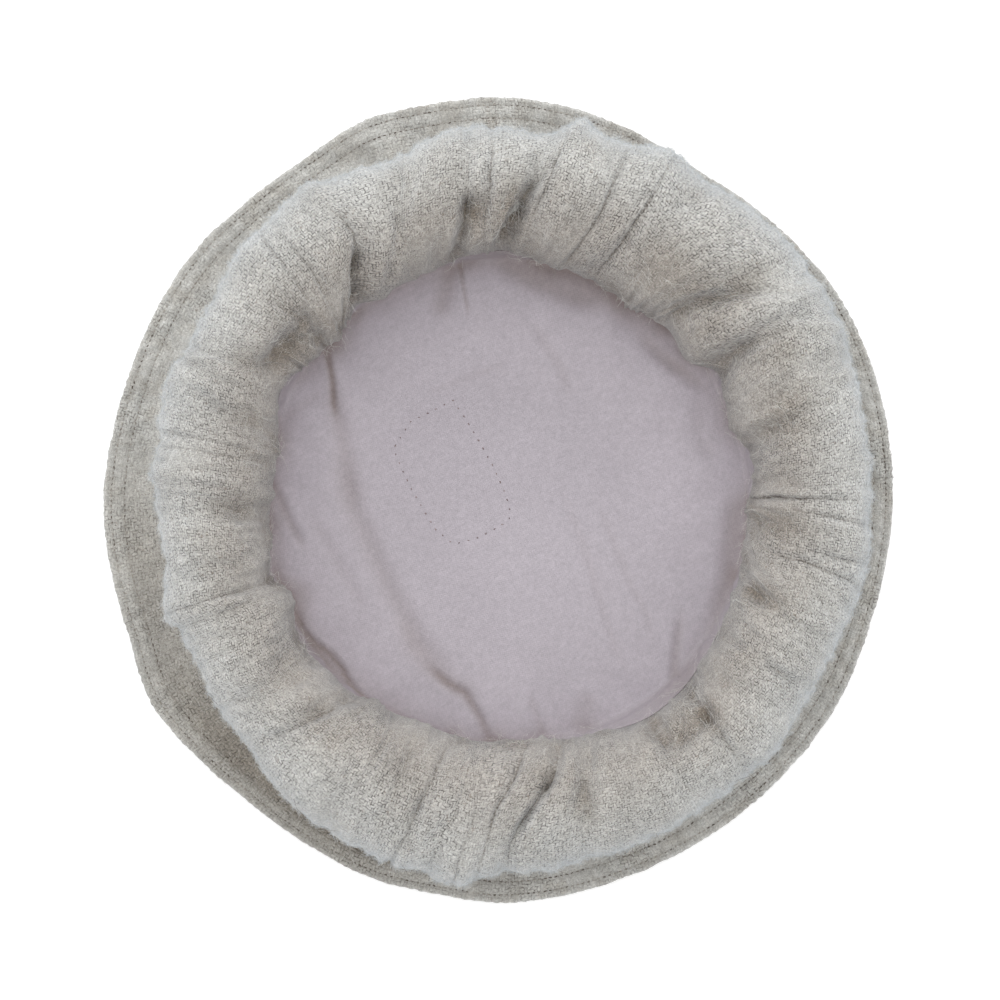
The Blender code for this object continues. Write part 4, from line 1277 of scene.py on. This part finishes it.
class GeometryGroup(Group):
    """A geometry group that puts shapes on points and gives one dressed mesh."""

    def __init__(self, name: str, inputs: dict[str, object]) -> None:
        """Makes the group, which also takes a geometry."""
        super().__init__(name, "GeometryNodeTree", {"Geometry": None, **inputs})

    def scatter(self, points: Signal, shape: Signal, rotation: Signal, turns: tuple[Signal, Signal],
                sizes: tuple[object, object], seeds: tuple[object, object]) -> Signal:
        """Puts a shape on points, each one with a turn and a size of its own.

        Args:
            points: Where they go.
            shape: What is put there.
            rotation: How they lie before the turn.
            turns: The least and greatest turn about each axis.
            sizes: The least and greatest size.
            seeds: Fix the random turns and sizes.

        Returns:
            The shapes as real geometry.
        """
        turn = self.add("FunctionNodeRandomValue", {0: turns[0], 1: turns[1], "Seed": seeds[0]},
                        data_type="FLOAT_VECTOR")
        turn = self.add("FunctionNodeEulerToRotation", {0: turn})
        turned = self.add("FunctionNodeRotateRotation", {"Rotation": rotation, "Rotate By": turn},
                          rotation_space="LOCAL")
        size = self.add("FunctionNodeRandomValue", {2: sizes[0], 3: sizes[1], "Seed": seeds[1]}, 1,
                        data_type="FLOAT")
        inputs = {"Points": points, "Instance": shape, "Rotation": turned, "Scale": size}
        placed = self.add("GeometryNodeInstanceOnPoints", inputs)
        return self.add("GeometryNodeRealizeInstances", {"Geometry": placed})

    def run(self, name: str, mesh: bpy.types.Mesh, result: Signal,
            material: bpy.types.Material) -> bpy.types.Object:
        """Finishes the group, runs it on a mesh and keeps the result as a plain mesh.

        Args:
            name: The new piece's name.
            mesh: What goes in.
            result: What the group gives.
            material: The finish.

        Returns:
            The new piece, with no modifier.
        """
        dressed = self.add("GeometryNodeSetMaterial", {"Geometry": result, "Material": material})
        worker = add_object(name + " worker", mesh)
        worker.modifiers.new("tree", "NODES").node_group = self.give(type(None), Geometry=dressed)
        ready = worker.evaluated_get(bpy.context.evaluated_depsgraph_get())
        grown = bpy.data.meshes.new_from_object(ready)
        grown.name = name
        bpy.data.objects.remove(worker)
        return add_object(name, grown)


@dataclass(frozen=True)
class Strands:
    """A kind of loose wool that stands out of a cloth."""

    name: str
    attribute: str  # where it grows, on the cloth that it grows from
    per_square_mm: float
    length: tuple[float, float]  # mm
    width: float  # mm
    tilt: float  # degrees from straight out
    points: int
    seed: int
    curl: float = 0.5  # how far its tip strays, as a share of its length

    def grow(self, cloth: bpy.types.Object, material: bpy.types.Material) -> bpy.types.Object:
        """Grows the strands out of a cloth.

        Args:
            cloth: The piece that they grow from.
            material: Their finish.

        Returns:
            The strands as a plain mesh.
        """
        graph = GeometryGroup(self.name + " growth", {
            "Density": self.per_square_mm / MM ** 2, "Shortest": self.length[0] * MM,
            "Longest": self.length[1] * MM, "Width": self.width * MM, "Curl": self.curl * 2.0 * self.length[1] * MM,
            "Tilt": math.radians(self.tilt), "Points": self.points, "Seed": self.seed})
        given = graph.given
        density = graph.add("GeometryNodeInputNamedAttribute", {"Name": self.attribute}, "Attribute",
                            data_type="FLOAT") * given["Density"]
        spots = graph.add("GeometryNodeDistributePointsOnFaces", {"Mesh": given["Geometry"], "Density": density,
                                                                  "Seed": given["Seed"]}, "Points")
        line = graph.add("GeometryNodeCurvePrimitiveLine", {"Start": (0.0, 0.0, -0.08), "End": (0.0, 0.0, 1.0)})
        line = graph.add("GeometryNodeResampleCurve", {"Curve": line, "Count": given["Points"]})
        turns = (graph.combine(0.0, given["Tilt"] * 0.75, -math.pi), graph.combine(0.0, given["Tilt"], math.pi))
        loose = graph.scatter(spots, line, spots.also("Rotation"), turns, (given["Shortest"], given["Longest"]),
                              (3, 5))
        along = graph.add("GeometryNodeSplineParameter", output="Factor")
        where = graph.add("GeometryNodeInputPosition")
        reach = along.do("POWER", 1.4) * given["Curl"]
        push = (graph.noise(where, 260.0, output="Color") - GREY) * reach
        bent = graph.add("GeometryNodeSetPosition", {"Geometry": loose, "Offset": push})
        tapered = graph.add("GeometryNodeSetCurveRadius", {"Curve": bent, "Radius": along * -0.65 + 1.0})
        half = given["Width"] * 0.5
        edge = graph.add("GeometryNodeCurvePrimitiveLine", {"Start": graph.combine(half * -1.0, 0.0),
                                                            "End": graph.combine(half, 0.0)})
        ribbon = graph.add("GeometryNodeCurveToMesh", {"Curve": tapered, "Profile Curve": edge})
        return graph.run(self.name, cloth.data, ribbon, material)


@dataclass(frozen=True)
class Stitching:
    """A run of stitches along a line on a cloth."""

    name: str
    pitch: float  # mm
    length: float
    thickness: float
    arch: float  # how high the thread stands at its middle
    jitter: float  # degrees
    seed: int

    def sew(self, lines: Sequence[np.ndarray], material: bpy.types.Material) -> bpy.types.Object:
        """Sews along closed lines.

        Args:
            lines: Points of each line, mm.
            material: The thread's finish.

        Returns:
            The stitches as a plain mesh.
        """
        points = []
        edges = []
        for line in lines:
            places = range(len(points), len(points) + len(line))
            edges += zip(places, (*places[1:], places[0]))
            points += [*line * MM]
        guide = bpy.data.meshes.new(self.name + " line")
        guide.from_pydata(points, edges, [])

        graph = GeometryGroup(self.name + " sewing", {
            "Pitch": self.pitch * MM, "Length": self.length * MM, "Thickness": self.thickness * MM,
            "Arch": self.arch * MM, "Jitter": math.radians(self.jitter), "Seed": self.seed})
        given = graph.given
        path = graph.add("GeometryNodeMeshToCurve", {"Mesh": given["Geometry"]})
        even = graph.add("GeometryNodeResampleCurve", {"Curve": path, "Length": given["Pitch"]}, mode="LENGTH")
        half = given["Length"] * 0.5
        sunk = given["Arch"] * -1.0
        thread = graph.add("GeometryNodeCurveQuadraticBezier", {
            "Resolution": 5, "Start": graph.combine(half * -1.0, 0.0, sunk),
            "Middle": graph.combine(0.0, 0.0, sunk * -2.4), "End": graph.combine(half, 0.0, sunk)})
        thick = given["Thickness"] * 0.5
        ring = graph.add("GeometryNodeCurvePrimitiveCircle", {"Resolution": 6, "Radius": thick})
        stitch = graph.add("GeometryNodeCurveToMesh", {"Curve": thread, "Profile Curve": ring,
                                                       "Fill Caps": True})
        tangent = graph.add("GeometryNodeInputTangent")
        aligned = graph.add("FunctionNodeAlignRotationToVector", {"Vector": tangent}, axis="X", pivot_axis="Z")
        jitter = given["Jitter"]
        back = jitter * -1.0
        turns = (graph.combine(0.0, back, back), graph.combine(0.0, jitter, jitter))
        sewn = graph.scatter(even, stitch, aligned, turns, (0.8, 1.2), (given["Seed"], given["Seed"]))
        piece = graph.run(self.name, guide, sewn, material)
        piece.data.shade_smooth()
        return piece


@dataclass
class Studio:
    """The floor, the soft light and the camera straight above."""

    camera: tuple[float, float, float] = (0.0007, 0.0, 0.845)
    lens: float = 82.5
    horizon: float = 1.46
    zenith: float = 1.14
    swing: float = 0.3  # how much brighter the sky is on the key's side
    key: float = 5.0
    key_size: float = 2.0
    key_azimuth: float = 100.0
    key_elevation: float = 45.0
    key_distance: float = 1.6
    floor_reach: float = 4.0
    floor_height: float = -0.0004
    floor_glow: float = 0.2

    def build(self) -> None:
        """Sets up everything that isn't the hat."""
        scene = bpy.context.scene
        scene.view_settings.view_transform = "Standard"
        scene.camera = add_object("camera", bpy.data.cameras.new("camera"))
        scene.camera.data.lens = self.lens
        scene.camera.data.sensor_width = 36.0
        scene.camera.location = self.camera

        mesh = bpy.data.meshes.new("floor")
        corners = [(x * self.floor_reach, y * self.floor_reach, self.floor_height)
                   for x, y in ((-1, -1), (1, -1), (1, 1), (-1, 1))]
        mesh.from_pydata(corners, [], [(0, 1, 2, 3)])
        mesh.materials.append(Surface("floor_paper", (0.95, 0.95, 0.95), {
            "Base Color": (0.95, 0.95, 0.95), "Roughness": 1.0, "Specular IOR Level": 0.0,
            "Emission Color": WHITE, "Emission Strength": self.floor_glow}).material)
        floor = add_object("floor", mesh)

        turn, lift = math.radians(self.key_azimuth), math.radians(self.key_elevation)
        scene.world = bpy.data.worlds.new("sky")
        scene.world.use_nodes = True
        graph = Graph(scene.world.node_tree)
        aim = graph.add("ShaderNodeTexCoord", output="Generated")
        upward = graph.add("ShaderNodeSeparateXYZ", {0: aim}, 2)
        sideways = aim.do("DOT_PRODUCT", (math.cos(turn), math.sin(turn), 0.0), output="Value")
        light = graph.add("ShaderNodeMapRange", {"Value": upward, "To Min": self.horizon,
                                                 "To Max": self.zenith})
        background = graph.tree.nodes["Background"].inputs
        graph.feed(background["Strength"], light * (sideways * self.swing + 1.0))
        graph.feed(background["Color"], WHITE)

        lamp = bpy.data.lights.new("key", "AREA")
        lamp.shape = "DISK"
        lamp.size = self.key_size
        lamp.energy = self.key
        lamp.color = (1.0, 1.0, 0.99)
        toward = Vector((math.cos(turn) * math.cos(lift), math.sin(turn) * math.cos(lift), math.sin(lift)))
        key = add_object("key", lamp)
        key.location = toward * self.key_distance
        key.rotation_euler = toward.to_track_quat("Z", "Y").to_euler()


def report(piece: bpy.types.Object) -> None:
    """Logs a piece's name and its count of triangles."""
    piece.data.calc_loop_triangles()
    LOG.info("%s: %d triangles", piece.name, len(piece.data.loop_triangles))


def main() -> None:
    """Builds the hat's pieces in order and dresses them."""
    logging.basicConfig(level=logging.INFO, format="%(name)s %(message)s")
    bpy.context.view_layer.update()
    Studio().build()

    twill = twill_group()
    brim_wool = WoolFinish("brim_wool", (0.675, 0.668, 0.638), (0.375, 0.367, 0.35), (0.09, 0.084, 0.076),
                           (0.415, 0.407, 0.39)).material(twill)
    rim_wool = WoolFinish("rim_wool", (0.72, 0.715, 0.68), (0.48, 0.47, 0.445), (0.14, 0.13, 0.112),
                          (0.485, 0.475, 0.45), yarn=1.1, soil=0.35, soil_grain=130.0).material(twill)
    cotton = CottonFinish("lilac_cotton", (0.51, 0.469, 0.513), (0.405, 0.375, 0.407)).material(plain_group())
    looks = (
        # The halo strands' bluish tint stands in for the rim light on them: painted highlight.
        ("halo_strand", (0.58, 0.61, 0.635), (0.42, 0.44, 0.455)),
        ("pale_strand", (0.74, 0.73, 0.7), (0.5, 0.49, 0.46)),
        ("dark_strand", (0.12, 0.09, 0.07), (0.05, 0.04, 0.035)),
        ("rim_thread", (0.4, 0.375, 0.335), (0.1, 0.08, 0.065), 220.0),
        ("brown_thread", (0.36, 0.29, 0.28), (0.17, 0.12, 0.12), 260.0))
    halo_strand, pale_strand, dark_strand, rim_thread, brown_thread = (
        StrandFinish(*look).material() for look in looks)

    brim_shape = RolledBrim()
    brim = brim_shape.build(brim_wool)
    underside_shape = CrownUnderside()
    underside = underside_shape.build(rim_wool)
    crown = CrownTop().build(rim_wool)
    lining_shape = Lining()
    lining = lining_shape.build(brim_shape, cotton)

    brim_strands = [Strands(*sizes).grow(brim, finish) for *sizes, finish in (
        ("halo_wool", "halo", 0.95, (1.2, 3.4), 0.07, 83.0, 5, 1, halo_strand),
        ("down_wool", "down", 0.22, (1.0, 3.0), 0.06, 84.0, 4, 2, pale_strand),
        ("loose_wisps", "wisps", 0.07, (2.5, 6.0), 0.06, 74.0, 7, 7, pale_strand),
        ("pocket_hairs", "brown_shade", 0.12, (3.0, 8.0), 0.07, 84.0, 8, 8, pale_strand),
        ("dark_hairs", "down", 0.0028, (3.0, 7.0), 0.09, 87.0, 7, 3, dark_strand))]
    rim_down = Strands("rim_wool_down", "down", 0.2, (0.8, 2.2), 0.06, 82.0, 4, 4).grow(underside, pale_strand)

    rim_line = even_azimuths(720)
    rows = [underside_shape.place(rim_line, np.full(720, row)) for row in underside_shape.stitch_rows]
    rim_stitches = Stitching("rim_stitches", 2.05, 0.9, 0.42, 0.15, 22.0, 5).sew(rows, rim_thread)
    x, y = np.array(PATCH_OUTLINE).T
    patch = np.column_stack((x, y, lining_shape.height(x, y)[0]))
    patch_stitches = Stitching("patch_stitches", 3.5, 0.6, 0.38, 0.2, 30.0, 6).sew([patch], brown_thread)

    for piece, node, slot in ((brim, "rolled_brim", "brim_wool"),
                              (underside, "crown_underside", "underside_wool"),
                              (crown, "crown_top", "crown_wool"), (lining, "lining", "lining_cotton")):
        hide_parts(node)
    for piece in (brim, underside, crown, lining, *brim_strands, rim_down, rim_stitches, patch_stitches):
        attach(piece, "root")
        report(piece)


if __name__ == "__main__":
    main()
